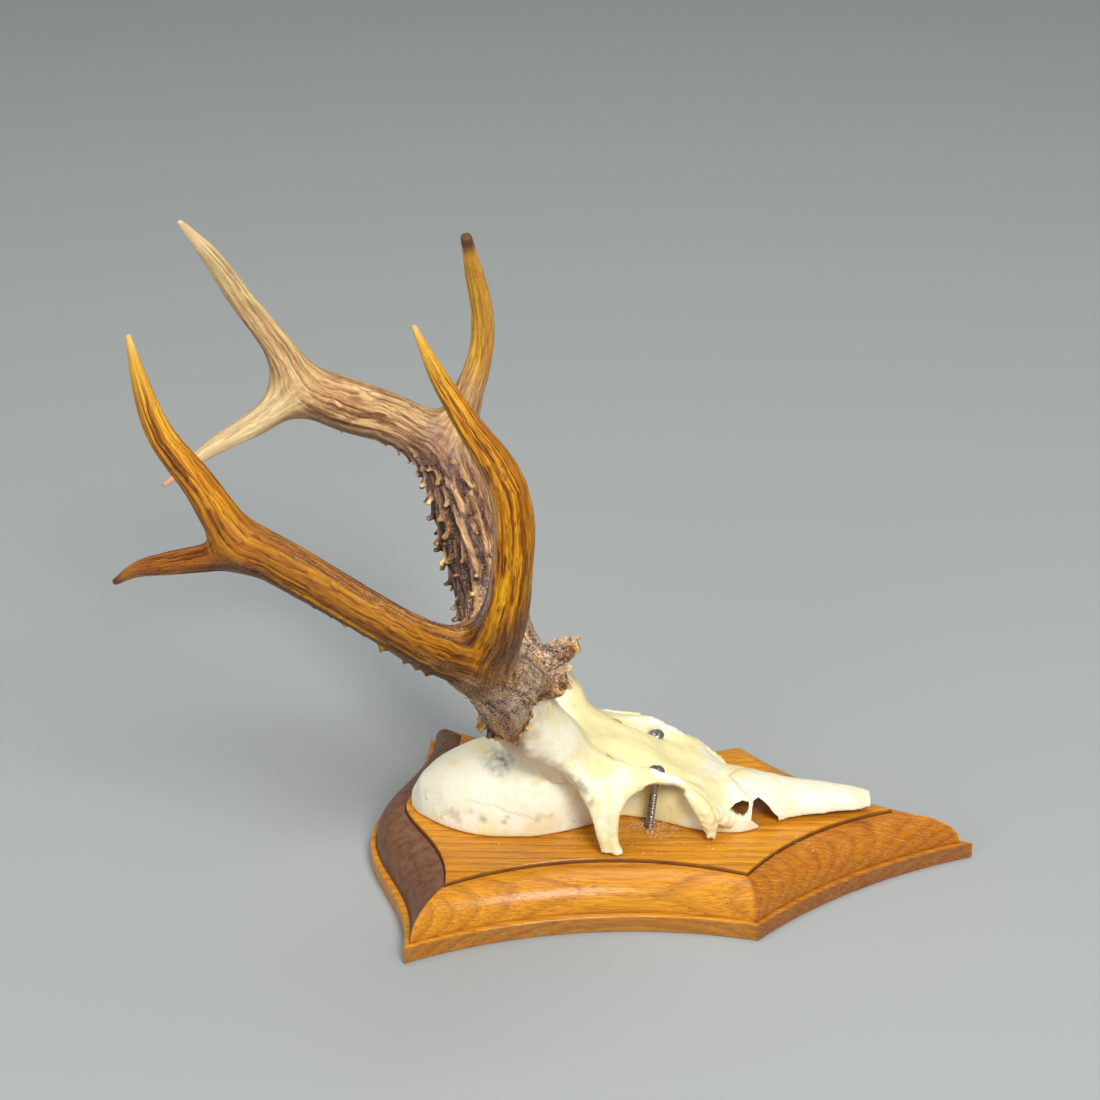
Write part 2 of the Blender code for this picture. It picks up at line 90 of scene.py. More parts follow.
# skull and screws
SAWN_Z = 22.7
SHEET = 2.3                                # thickness of the bone
SCREW_PLACES = {"right": (-6.8, -15.6, 47.2), "left": (-6.5, 14.5, 46.2)}
SCREW_LEANS = {"right": 2.3 / 24.0, "left": 0.04}
SLOT_TURNS = {"right": 78, "left": 96}     # degrees
HEAD_RADIUS = 3.4
HEAD_HEIGHT = 2.3
HEAD_PROFILE = [(0.35, 1.0), (0.62, 0.90), (0.80, 0.72), (0.92, 0.50), (0.98, 0.30), (1.0, 0.14),
                (0.98, 0.03), (0.94, 0.0)]
SHAFT_RADIUS = 1.6
SCREW_TIP_Z = 9.0
THREAD_START = 8.5                         # below the head
THREAD_PITCH = 1.25
SHAFT_RINGS, SHAFT_SIDES, HEAD_SIDES = 420, 24, 48
COARSE_CRUMBS, SCREW_CRUMBS, CRUMBS = 60, 250, 330   # the coarse ones, those round the screw, all

# sections of the skull: x, half width, height of the top, height of the edge, squareness
VAULT = [(-103.3, 2, 28, 22.7, 2), (-101, 6, 32.5, 22.7, 2), (-98, 10, 37, 22.7, 2),
         (-90, 17, 43.5, 22.7, 2), (-81, 22, 48, 22.7, 2), (-72, 24.6, 51, 22.7, 2),
         (-60, 25, 54.5, 22.7, 2), (-52, 24, 56, 22.7, 2), (-43, 20.8, 56, 22.7, 2.2),
         (-33, 16, 54, 22.7, 2.4), (-25, 10.5, 50, 22.7, 3), (-18, 8.5, 46, 22.7, 3),
         (-5, 12.3, 42, 22.7, 4), (7, 17.5, 40, 22.7, 3.2), (18, 20, 37.6, 22.7, 2.7),
         (26, 20, 36.4, 22.7, 2.4), (33, 17, 35.8, 22.7, 2.4), (41, 12.3, 35.2, 23.4, 2.4),
         (49, 9.8, 34.2, 24.3, 2.4), (60, 8.6, 33, 25, 2.3), (72, 6.6, 31, 25.5, 2.3),
         (78.3, 4.6, 29.6, 26, 2.2)]
# rows of the frontal bone from the middle outwards, each from back to front: x, distance from the middle, z
FRONTAL = [
    [(-60, 0, 58), (-49, 0, 61.5), (-38, 0, 60.5), (-30, 0, 58.3), (-20, 0, 55.3), (-9, 0, 51),
     (-3.5, 0, 46.6), (3, 0, 43.3), (12, 0, 39.8), (24, 0, 34.3)],
    [(-58, 9, 60), (-48, 9.5, 65), (-38, 9, 62), (-30, 8.5, 59), (-20, 8, 55.2), (-9, 8, 50.4),
     (-3, 8, 46.8), (3, 8, 44), (12, 8.5, 40.2), (24, 8, 33.8)],
    [(-52.2, 16, 75), (-44.5, 17, 68.5), (-36.5, 16.5, 62), (-29, 15.5, 56.8), (-20, 15, 51),
     (-8.5, 15.3, 46.2), (-3, 15, 44.8), (3, 14.5, 43.6), (12, 14.5, 39.8), (23, 13, 32)],
    [(-53.7, 25, 77), (-46.5, 24, 69.2), (-37.4, 21.5, 61.3), (-30, 18.4, 55.8), (-20, 17.3, 52.6),
     (-9, 19.7, 51.2), (-3, 18.3, 48.4), (2.7, 17.9, 46), (11, 18.5, 41), (22, 16.3, 29.5)],
    [(-54.5, 32, 73.5), (-47, 30.5, 66.5), (-39, 27.8, 58.4), (-30.8, 26, 52.4), (-20, 24.8, 50.3),
     (-9.5, 23.5, 50.3), (-3, 21, 48), (2.5, 20.3, 45.8), (10, 20.3, 40.5), (20, 18.8, 32.5)],
    [(-58.5, 32.5, 64), (-49.5, 30.8, 59.3), (-41, 29.4, 53.5), (-32.5, 30.6, 45.5), (-19, 30.8, 45.4),
     (-9.5, 26.4, 48.3), (-3, 23.2, 47.2), (2, 21.7, 45.3), (9, 21.6, 39), (18, 20, 31)]]
# the wall of the temple below the frontal bone's rear edge
TEMPLE = [[(-58.5, 32, 63.5), (-49.5, 30.3, 58.8), (-41, 29, 53), (-34, 30, 46.5)],
          [(-59, 26, 57), (-49.5, 24.5, 53), (-41, 21, 47), (-34, 17.5, 41)]]
# the flat bar behind the orbit, by its rear and front edges: x, distance from the middle, z, radius
BAR_BACK = [(-43, 25, 52.5, 1.2), (-37, 27.5, 48.5, 1.5), (-33.5, 30, 43.5, 1.6), (-31, 32.5, 39.5, 1.6),
            (-29.3, 34.3, 34.5, 1.5), (-27.9, 35.6, 29.5, 1.5), (-26.2, 36.5, 23.9, 1.6)]
BAR_FRONT = [(-12, 27.0, 47.6, 1.2), (-17, 29.2, 46, 1.5), (-20.5, 31.8, 42.8, 1.7),
             (-22.6, 34.1, 38.2, 1.8), (-23, 35.6, 32.5, 1.7), (-22.4, 36.6, 27.5, 1.7),
             (-20.9, 37.2, 23.6, 1.8)]
TEAR_BAR = [(5, 21, 42, 2.0), (9, 22, 37.5, 3.2), (12.5, 23.5, 33, 3.6), (14.3, 24.8, 28.5, 2.9),
            (14.8, 25.8, 24.3, 1.9)]
TEAR_SPUR = [(14, 22.5, 33, 3), (19, 21.5, 30, 2.4), (23, 20.5, 27, 1.6)]
PEDICLE = [(-40, 12, 50, 11), (-46.5, 16, 60, 12.5), (-54.6, 19.5, 69, 13.6), (-60.2, 22, 80, 14),
           (-63.2, 24, 88, 14)]
# openings seen from the side, x and z
NOTCH = [(34.1, 22.0), (33.4, 23.6), (30.6, 26.4), (30.9, 30.6), (31.8, 33.0), (33.4, 33.4), (35.2, 32.3),
         (37.4, 30.3), (39.6, 27.2), (41.4, 25.6), (42.0, 22.0)]
HOLE = [(21.6, 31.3), (24.2, 32.9), (27.0, 33.3), (29.4, 32.8), (29.7, 31.2), (28.7, 28.9), (27.0, 28.3),
        (24.0, 29.6)]
PITS = [(-74.2, -24, 29.5, 1.6), (-65.6, -24.6, 28.9, 1.0), (-64.5, -24.6, 31.0, 0.8),
        (-73.5, -23.5, 35.0, 1.0), (15.5, -26, 27.5, 1.1), (13.5, -26, 30.0, 1.0), (16.0, 26, 27.5, 1.1),
        (-34, -26.5, 52, 0.7)]
# grey stains on the near side: strength, x and its spread, z and its spread, slope
STAINS = [(1, -65.6, 2.6, 48.6, 2.0, 0), (0.55, -70, 5.0, 46.8, 1.9, 0.4), (0.5, -69, 3.2, 50.3, 1.3, 0),
          (0.6, -62, 3.0, 51, 1.8, 0)]

# antlers: middle lines of the limbs, each point with its radius: x, distance from the middle plane, z, r
ROUTES = {
    "right": {
        "beam": [(-53, 18, 69, 13), (-57, 21, 76, 14.5), (-61, 36, 93, 15), (-67, 59, 115, 14),
                 (-77, 76, 129.2, 10.3), (-90, 84, 138.3, 8.6), (-105, 85, 148, 7.8), (-140, 76, 165.4, 8.4),
                 (-155.5, 72, 173, 7.9), (-168.3, 68, 192, 6.2), (-180.3, 65, 208, 5.1),
                 (-186.2, 61, 223, 3.8), (-191, 56, 242, 1.1)],
        "front_tine": [(-71, 70, 125, 12), (-62.5, 83, 148, 8.8), (-59.3, 87, 167, 7.4),
                       (-58.3, 87.2, 188, 7.2), (-62.6, 83.5, 203, 6.5), (-73.8, 74, 216.8, 4.7),
                       (-84.9, 62, 230.4, 3.4), (-93.8, 48, 243, 1.0)],
        "rear_tine": [(-153, 72, 169, 7.2), (-167, 68, 163.3, 5.2), (-182, 60.5, 157.3, 4.3),
                      (-195, 51, 150, 3.2), (-205.5, 43, 140.8, 1.2)],
    },
    "left": {
        "beam": [(-53, 18, 67, 12), (-60, 21.5, 73.5, 12), (-68.5, 36, 81.5, 12.8), (-74, 52, 95, 13.6),
                 (-80.5, 66, 112, 13.3), (-86.7, 76, 127.3, 12.7), (-95, 82.3, 140, 10.9),
                 (-110, 82.6, 151.6, 10.2), (-133, 80, 161.3, 11), (-149, 76, 171, 9.6),
                 (-158.2, 72, 190, 6), (-170, 69, 209, 5), (-180, 64, 228, 4), (-187, 61, 238.5, 2.4),
                 (-191, 58, 245, 1.0)],
        "front_tine": [(-90, 83, 142, 10.5), (-84, 86, 160, 7), (-78, 86, 180, 5.1), (-76.7, 82, 199, 4.6),
                       (-79.3, 73, 220, 3.9), (-81.5, 62, 238, 2.2)],
        "rear_tine": [(-152, 75, 168, 8), (-166, 66, 158.8, 5.2), (-183, 54, 152.4, 3.6),
                      (-201, 40, 142, 1.1)],
    },
}
SIDES = {"right": -1, "left": 1}
LIMB_STARTS = {"beam": 0.0, "front_tine": 75.0, "rear_tine": 170.0}   # along the beam, for the streaks
SEEDS = {"right": (3, 11), "left": (5, 12)}                           # of the coronet and of the pearls
KNOBS, RIDGES = 110, 16                    # small knobs on a coronet, ridges between a beam's pearls
WEB = {"right": 7.0, "left": 9.0}          # how far the skin reaches across a fork
CORONET_CENTRE = (-56.5, 21.0, 74.5)
CORONET_AXIS = (-0.45, 0.17, 0.88)
# the coronet's lower edge: turn in degrees from the front (outer side positive), radius, height
RIMS = {
    "right": [(-180, 16.5, 7), (-150, 16, 8), (-120, 15.8, 9), (-90, 15.8, 10), (-60, 16.5, 10),
              (-35, 18.5, 8.5), (-15, 21, 7.5), (0, 22.6, 6.8), (10, 22.2, 7), (21, 19.8, 8.6),
              (32, 16.2, 11), (49, 13.6, 11.6), (62, 14.7, 8.8), (71, 15.3, 6.7), (89, 15.5, 4),
              (103, 16.4, 0.8), (113, 15.8, 3.2), (127, 16.3, 6), (146, 18, 7.6), (163, 17.3, 7),
              (180, 16.5, 7)],
    "left": [(-180, 17, 1.5), (-140, 15.8, 1), (-100, 15.8, 0), (-70, 16, -1), (-45, 16, -3),
             (-25, 15.5, -4.5), (0, 15, -5), (25, 15, -5.5), (45, 15, -6), (70, 15.5, -5), (100, 16, -3),
             (140, 16.5, -1), (180, 17, 1.5)]}
# the tongue at the front of each coronet: distance from its middle, height and radius
TONGUES = {"right": [(8, 13, 6), (13, 12, 5.6), (18, 10.6, 5.0), (22, 9.8, 4.3)],
           "left": [(6.5, 0, 4.8), (12, -1.0, 4.2), (17, -1.0, 3.7), (21, -1.1, 3.0)]}
TONGUE_TURN = {"right": -4, "left": 0}
# how the foot of the antler flares into its rim: height above the rim, change of radius
CORONET_FLARE = {"right": [(0.4, -1.6), (2.2, -2.4), (5, -4.2), (9, -5.6), (14, -7)],
                 "left": [(0.4, -1.6), (2, -3.2), (4.5, -5.6), (7, -8.0)]}
# lumps on top of the tongues: turn, distance from the coronet's middle, height and radius
LUMPS = {"right": [(-12, 12, 18, 2.6), (10, 15, 17, 2.3), (22, 12, 19, 2.0), (-22, 17, 15, 2.1),
                   (3, 20, 14, 1.9), (-9, 23.5, 11.5, 1.6), (-16, 21, 12.5, 1.7), (12, 19, 13, 1.6)],
         "left": [(6, 12, 3.6, 2.3), (-7, 15, 3.0, 2.0), (0, 20.5, 1.6, 2.0), (9, 17, 2.2, 1.8),
                  (-16, 12, 3.4, 1.8)]}
# small spurs under the right beam: place, direction and size
SPURS = [((-104.2, -88.2, 138.9), (-0.47, -0.44, -0.77), 1.2),
         ((-88.9, -85.8, 128.4), (-0.30, -0.46, -0.83), 1.3),
         ((-96.5, -87.9, 133.5), (-0.47, -0.44, -0.77), 0.7),
         ((-92.5, -87, 130.8), (-0.40, -0.45, -0.80), 0.9)]
# rows of pearls: angle from the inner face to the rear, from and to along the beam, spacing, size
PEARL_ROWS = {
    "right": [(88, 26, 150, 7, 0.62), (60, 22, 120, 8, 0.9), (25, 20, 110, 9, 1.1), (-10, 20, 100, 9, 1.0)],
    "left": [(94, 14, 165, 7.4, 1.15), (66, 18, 125, 9, 1.1), (40, 16, 118, 10, 1.25),
             (14, 18, 112, 10, 1.2), (-14, 22, 104, 10, 1.0)]}
DUSK = (0.215, 0.122, 0.098)               # between the pearls on the inner face
# colours of the antlers ('under' is painted shade with some dark deposit, 'dark' is also painted shade in
# hollows), how far the pale tips reach and where the grainy foot begins and ends
LOOKS = {
    "right": {"base": (0.36, 0.152, 0.003), "light": (0.60, 0.30, 0.006), "dark": (0.085, 0.027, 0.003),
              "front": (0.52, 0.235, 0.005), "front_light": (0.62, 0.335, 0.010),
              "top": (0.54, 0.235, 0.007), "rear": (0.44, 0.165, 0.018), "under": (0.075, 0.032, 0.015),
              "upper": (0.68, 0.38, 0.038), "tip": (0.80, 0.50, 0.14), "tine_tip": (0.80, 0.50, 0.14),
              "rear_tip": (0.13, 0.040, 0.014), "reach": 60, "foot": (86, 58)},
    "left": {"base": (0.60, 0.41, 0.195), "light": (0.64, 0.46, 0.245), "dark": (0.20, 0.095, 0.042),
             "front": (0.80, 0.40, 0.045), "front_light": (0.90, 0.50, 0.09), "top": (0.82, 0.54, 0.27),
             "rear": (0.86, 0.62, 0.33), "under": (0.22, 0.12, 0.065), "upper": (0.80, 0.58, 0.32),
             "tip": (0.85, 0.62, 0.34), "tine_tip": (0.14, 0.065, 0.028), "rear_tip": (0.62, 0.36, 0.25),
             "reach": 45, "foot": (46, 26)}}


# ================================================================ noise and curves
SHUFFLE = np.random.RandomState(7).permutation(256)
GRADIENTS = np.random.RandomState(8).normal(size=(256, 3))
GRADIENTS /= np.linalg.norm(GRADIENTS, axis=1)[:, None]


def noise(points, seed=0):
    """Smooth gradient noise, about -1 to 1, at each point."""
    points = np.asarray(points, float) + 19.7 * seed
    cell = np.floor(points).astype(int)
    local = points - cell
    ease = local ** 3 * (local * (local * 6 - 15) + 10)
    total = np.zeros(len(points))
    for corner in itertools.product((0, 1), repeat=3):
        spot = (cell + corner) & 255
        pick = SHUFFLE[(SHUFFLE[(SHUFFLE[spot[:, 0]] + spot[:, 1]) & 255] + spot[:, 2]) & 255]
        weight = np.prod(np.where(corner, ease, 1 - ease), axis=1)
        total += weight * np.einsum("ij,ij->i", GRADIENTS[pick], local - corner)
    return 1.6 * total


def layered(points, layers=3, seed=0):
    """Noise with finer and weaker layers added."""
    return sum(noise(points * 2.0 ** k, seed + k) / 2.0 ** k for k in range(layers))


def step(low, high, value):
    """0 below low, 1 above high, smooth between; reversed when low is above high."""
    t = np.clip((np.asarray(value, float) - low) / (high - low), 0, 1)
    return t * t * (3 - 2 * t)


def mix(a, b, share):
    """Rows or colours between a, where the share is 0, and b, where it is 1."""
    share = np.asarray(share)[:, None]
    return np.asarray(a) * (1 - share) + np.asarray(b) * share


def laid_over(tint, *coats):
    """A tint under more coats, each a colour and its share a vertex."""
    for colour, share in coats:
        tint = mix(tint, colour, share)
    return tint


def lengths(rows):
    return np.linalg.norm(rows, axis=1)


def mirrored(route, sign):
    """A route on one side of the middle plane: near for -1, far for 1."""
    return [(x, sign * y, *rest) for x, y, *rest in route]


def smooth_line(points, per_span=5):
    """A smooth curve through the points (any number of columns), by Catmull-Rom spans."""
    rows = np.array(points, float)
    ends = np.vstack([2 * rows[0] - rows[1], rows, 2 * rows[-1] - rows[-2]])
    line = []
    for a, b, c, d in zip(ends, ends[1:], ends[2:], ends[3:]):
        for t in np.linspace(0, 1, per_span, endpoint=False):
            line.append(0.5 * (2 * b + (c - a) * t + (2 * a - 5 * b + 4 * c - d) * t * t
                               + (3 * b - a - 3 * c + d) * t ** 3))
    line.append(rows[-1])
    return np.array(line)


def reach_of(line):
    """Distance along a line at each of its points."""
    return np.concatenate([[0], np.cumsum(lengths(np.diff(line[:, :3], axis=0)))])


def resampled(line, reach, count):
    """A line at so many even stops of its reach."""
    stops = np.linspace(0, reach[-1], count)
    return np.column_stack([np.interp(stops, reach, column) for column in line.T])


def even_line(points, spacing):
    """The smooth curve again, with points a fixed distance apart."""
    fine = smooth_line(points, 24)
    reach = reach_of(fine)
    return resampled(fine, reach, max(3, int(reach[-1] / spacing)))


def travel(line):
    """Distance along a line, its direction, and two cross directions that don't twist."""
    reach = reach_of(line)
    along = np.gradient(line[:, :3], axis=0)
    along /= lengths(along)[:, None]
    side = np.zeros_like(along)
    last = np.array((1.0, 0.0, 0.3))
    for i, way in enumerate(along):
        last = last - way * last.dot(way)
        last /= np.linalg.norm(last)
        side[i] = last
    return reach, along, side, np.cross(along, side)


# ================================================================ meshes
def mesh_of(name, verts, faces):
    mesh = bpy.data.meshes.new(name)
    mesh.from_pydata([tuple(v) for v in verts], [], faces)
    return mesh


def made_mesh(shape, name):
    """A working shape as a mesh."""
    mesh = bpy.data.meshes.new(name)
    shape.to_mesh(mesh)
    shape.free()
    return mesh


def outward(mesh):
    """The same closed mesh with all its faces turned outwards."""
    shape = bmesh.new()
    shape.from_mesh(mesh)
    bmesh.ops.recalc_face_normals(shape, faces=shape.faces)
    shape.to_mesh(mesh)
    shape.free()
    return mesh


def ringed(name, rings, start=None, end=None):
    """A closed mesh over rings of points in mm; each end is flat or drawn to a point."""
    count = len(rings[0])
    last = (len(rings) - 1) * count
    faces = [(low + i, low + (i + 1) % count, low + count + (i + 1) % count, low + count + i)
             for low in range(0, last, count) for i in range(count)]
    verts = [point for ring in rings for point in ring]
    for point, ring in ((start, range(count)[::-1]), (end, range(last, last + count))):
        if point is None:
            faces.append(tuple(ring))
        else:
            faces += [(ring[i - 1], ring[i], len(verts)) for i in range(count)]
            verts.append(point)
    return mesh_of(name, np.array(verts) * MM, faces)


def circle(count):
    """Cosine and sine of so many turns."""
    turns = np.arange(count) * math.tau / count
    return np.column_stack([np.cos(turns), np.sin(turns)])


def tube(line, sides=24):
    """A closed round limb along a line of x, y, z, r."""
    _, _, across, up = travel(line)
    turns = circle(sides)
    rings = [row[:3] + row[3] * turns @ np.array((a, b)) for row, a, b in zip(line, across, up)]
    return ringed("tube", rings)


def blob(centre, axes, sizes, detail=2):
    """A closed egg shape: its middle in mm, three directions and its half sizes in mm."""
    shape = bmesh.new()
    turn = Matrix([list(a) for a in np.array(axes).T]).to_4x4()
    place = Matrix.Translation(Vector(centre) * MM) @ turn @ Matrix.Diagonal((*[s * MM for s in sizes], 1.0))
    bmesh.ops.create_icosphere(shape, subdivisions=detail, radius=1.0, matrix=place)
    return made_mesh(shape, "blob")


def baked(thing):
    """The mesh of an object with its modifiers applied; the object itself goes."""
    bpy.context.view_layer.update()
    graph = bpy.context.evaluated_depsgraph_get()
    mesh = bpy.data.meshes.new_from_object(thing.evaluated_get(graph))
    bpy.data.objects.remove(thing, do_unlink=True)
    return mesh


def loose_object(name, data):
    thing = bpy.data.objects.new(name, data)
    bpy.context.scene.collection.objects.link(thing)
    return thing


def grown_together(name, meshes, voxel=VOXEL, softening=2, cutters=()):
    """One skin over overlapping closed meshes, less the cutters."""
    shape = bmesh.new()
    for mesh in meshes:
        shape.from_mesh(mesh)
    thing = loose_object(name, made_mesh(shape, name))
    skin = thing.modifiers.new("skin", "REMESH")
    skin.mode = "VOXEL"
    skin.voxel_size = voxel
    soft = thing.modifiers.new("soft", "SMOOTH")
    soft.factor = 0.5
    soft.iterations = softening
    return cut(thing, *cutters)


def cut(thing, *cutters):
    """The mesh of an object less the cutters; all the objects go."""
    helpers = [loose_object("cutter", cutter) for cutter in cutters]
    for helper in helpers:
        thing.modifiers.new("cut", "BOOLEAN").object = helper
    mesh = baked(thing)
    for helper in helpers:
        bpy.data.objects.remove(helper, do_unlink=True)
    return mesh


def points_of(mesh, kind="co"):
    flat = np.empty(len(mesh.vertices) * 3)
    mesh.vertices.foreach_get(kind, flat)
    return flat.reshape(-1, 3)


def normals_of(mesh):
    return points_of(mesh, "normal")


def move_points(mesh, points):
    mesh.vertices.foreach_set("co", np.asarray(points, float).ravel())
    mesh.update()


def relaxed(mesh, values, rounds, weight=1.0):
    """Values a vertex, averaged with their neighbours again and again."""
    edges = np.empty(len(mesh.edges) * 2, int)
    mesh.edges.foreach_get("vertices", edges)
    a, b = edges.reshape(-1, 2).T
    count = len(values)
    ends = np.maximum(np.bincount(a, minlength=count) + np.bincount(b, minlength=count), 1)
    values = np.array(values, float)
    weight = np.broadcast_to(np.asarray(weight, float), (count,))
    for _ in range(rounds):
        for k in range(values.shape[1]):
            column = values[:, k]
            near = np.bincount(a, column[b], count) + np.bincount(b, column[a], count)
            values[:, k] = column + weight * (near / ends - column)
    return values


def bulge(mesh, rounds):
    """How far each vertex stands out from its relaxed surroundings, in mm; hollows are negative."""
    points = points_of(mesh)
    return np.einsum("ij,ij->i", points - relaxed(mesh, points, rounds), normals_of(mesh)) / MM


def paint(mesh, name, values):
    """Stores one value, vector or colour a vertex for the materials to read."""
    values = np.asarray(values, float)
    kind, key = ("FLOAT", "value") if values.ndim == 1 else ("FLOAT_VECTOR", "vector")
    if name == "tint":
        kind, key = "FLOAT_COLOR", "color"
        values = np.column_stack([np.clip(values, 0, 1), np.ones(len(values))])
    mesh.attributes.new(name, kind, "POINT").data.foreach_set(key, values.ravel())


def show(name, mesh, finish, nodes=(), crease=None):
    """Puts a piece in the scene, riding on the one body; edges sharper than the crease stay sharp."""
    piece = loose_object(name, mesh)
    mesh.materials.clear()
    mesh.materials.append(finish)
    mesh.shade_smooth()
    if crease is not None:
        mesh.set_sharp_from_angle(angle=math.radians(crease))
    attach(piece, "root")
    if nodes:
        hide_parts(*nodes)


# ================================================================ material nodes
class Nodes:
    """One material and short words for its nodes; sockets take a value or another node's output."""

    def __init__(self, name):
        self.material = bpy.data.materials.new(name)
        self.material.use_nodes = True
        self.tree = self.material.node_tree
        self.shader = self.tree.nodes["Principled BSDF"]

    def link(self, source, target):
        self.tree.links.new(source, target)

    def feed(self, socket, value):
        if hasattr(value, "is_output"):
            self.link(value, socket)
        elif value is not None:
            socket.default_value = value

    def attribute(self, name, output="Vector"):
        node = self.tree.nodes.new("ShaderNodeAttribute")
        node.attribute_name = name
        return node.outputs[output]

    def place(self):
        return self.tree.nodes.new("ShaderNodeTexCoord").outputs["Object"]

    def stretch(self, vector, scale):
        node = self.tree.nodes.new("ShaderNodeMapping")
        node.inputs["Scale"].default_value = scale
        self.link(vector, node.inputs["Vector"])
        return node.outputs["Vector"]

    def noise(self, vector, scale, detail=3.0, rough=0.55, twist=0.0):
        node = self.tree.nodes.new("ShaderNodeTexNoise")
        self.link(vector, node.inputs["Vector"])
        values = {"Scale": scale, "Detail": detail, "Roughness": rough, "Distortion": twist}
        for name, value in values.items():
            node.inputs[name].default_value = value
        return node.outputs["Fac"]

    def cells(self, vector, scale):
        """Distance to the nearest of many scattered dots."""
        node = self.tree.nodes.new("ShaderNodeTexVoronoi")
        self.link(vector, node.inputs["Vector"])
        node.inputs["Scale"].default_value = scale
        return node.outputs["Distance"]

    def ramp(self, value, *stops):
        node = self.tree.nodes.new("ShaderNodeValToRGB")
        points = node.color_ramp.elements
        while len(points) < len(stops):
            points.new(0.5)
        for point, (place, colour) in zip(points, stops):
            point.position = place
            level = colour if hasattr(colour, "__len__") else (colour,) * 3
            point.color = (*level[:3], 1.0)
        self.feed(node.inputs["Fac"], value)
        return node.outputs["Color"]

    def math(self, operation, a, b=None):
        node = self.tree.nodes.new("ShaderNodeMath")
        node.operation = operation
        self.feed(node.inputs[0], a)
        self.feed(node.inputs[1], b)
        return node.outputs[0]

    def plus(self, a, b):
        return self.math("ADD", a, b)

    def times(self, a, b):
        return self.math("MULTIPLY", a, b)

    def rest(self, share):
        return self.math("SUBTRACT", 1.0, share)

    def blend(self, share, a, b, how="MIX"):
        node = self.tree.nodes.new("ShaderNodeMix")
        node.data_type = "RGBA"
        node.blend_type = how
        node.clamp_result = how != "MIX"
        self.feed(node.inputs[0], share)
        self.feed(node.inputs[6], (*a, 1.0) if isinstance(a, tuple) else a)
        self.feed(node.inputs[7], (*b, 1.0) if isinstance(b, tuple) else b)
        return node.outputs[2]

    def tinted(self, a, b):
        return self.blend(1.0, a, b, "MULTIPLY")

    def bump(self, height, distance, strength):
        node = self.tree.nodes.new("ShaderNodeBump")
        node.inputs["Distance"].default_value = distance
        node.inputs["Strength"].default_value = strength
        self.feed(node.inputs["Height"], height)
        return node.outputs["Normal"]

    def finish(self, **sockets):
        for name, value in sockets.items():
            self.feed(self.shader.inputs[name.replace("_", " ").title().replace("Ior", "IOR")], value)
        return self.material


def antler_finish():
    """Brown antler: tint and grooves come with the mesh, fine streaks and grains from here."""
    n = Nodes("antler")
    tint = n.attribute("tint", "Color")
    grain = n.attribute("grain", "Fac")
    bare_tip = n.attribute("smooth_tip", "Fac")
    share = n.attribute("tine_share", "Fac")
    place = n.place()

    def both(stretch, detail, rough, twist):
        """The same stringy noise along the beam and along the tines, crossing over at the forks."""
        pair = [n.noise(n.stretch(n.attribute(name), stretch), 1.0, detail, rough, twist)
                for name in ("beam_place", "tine_place")]
        return n.plus(n.times(pair[0], n.rest(share)), n.times(pair[1], share))

    fibres = both((1.25, 1.25, 0.055), 5.0, 0.72, 0.12)
    dashes = both((1.5, 1.5, 0.16), 3.0, 0.60, 0.15)
    streaks = both((0.42, 0.42, 0.015), 4.0, 0.62, 0.2)
    bands = both((0.2, 0.2, 0.010), 3.0, 0.55, 0.3)
    speckle = n.noise(place, 1150.0, 3.0, 0.75)
    sparkle = n.ramp(n.cells(place, 800.0), (0.0, 1.0), (0.22, 1.0), (0.32, 0.0))
    keep = n.rest(n.times(bare_tip, 0.75))
    bright = n.tinted(tint, (1.62, 1.68, 1.62))
    shade = n.ramp(fibres, (0.34, (0.30, 0.19, 0.20)), (0.43, (0.58, 0.47, 0.48)),
                   (0.50, (0.76, 0.68, 0.64)), (0.57, (0.92, 0.88, 0.80)), (0.64, (1.1, 1.12, 1.1)))
    base = n.blend(keep, n.tinted(tint, (1.05, 1.0, 1.0)), n.tinted(bright, shade))
    for weight, marks, *stops in (
            (0.95, streaks, (0.38, (0.26, 0.15, 0.16)), (0.45, (0.62, 0.50, 0.46)), (0.50, 1.0)),
            (0.8, bands, (0.40, (0.55, 0.40, 0.34)), (0.52, 1.0)),
            (0.8, dashes, (0.34, (0.40, 0.26, 0.26)), (0.43, 1.0))):
        base = n.blend(n.times(keep, weight), base, n.tinted(base, n.ramp(marks, *stops)))
    base = n.blend(n.times(grain, n.ramp(speckle, (0.52, 0.0), (0.62, 0.85))), base, (0.84, 0.70, 0.52))
    base = n.blend(n.times(grain, n.ramp(speckle, (0.35, 0.8), (0.46, 0.0))), base, (0.085, 0.042, 0.030))
    base = n.blend(n.times(n.times(grain, sparkle), 0.4), base, (0.92, 0.86, 0.76))
    height = n.plus(n.times(fibres, n.times(keep, 1.1)), n.times(n.times(speckle, grain), 1.1))
    rough = n.plus(n.times(grain, 0.20), n.ramp(fibres, (0.3, 0.46), (0.7, 0.32)))
    return n.finish(base_color=base, roughness=rough, normal=n.bump(height, 0.0008, 0.8),
                    specular_ior_level=0.20, coat_weight=0.02, coat_roughness=0.3)


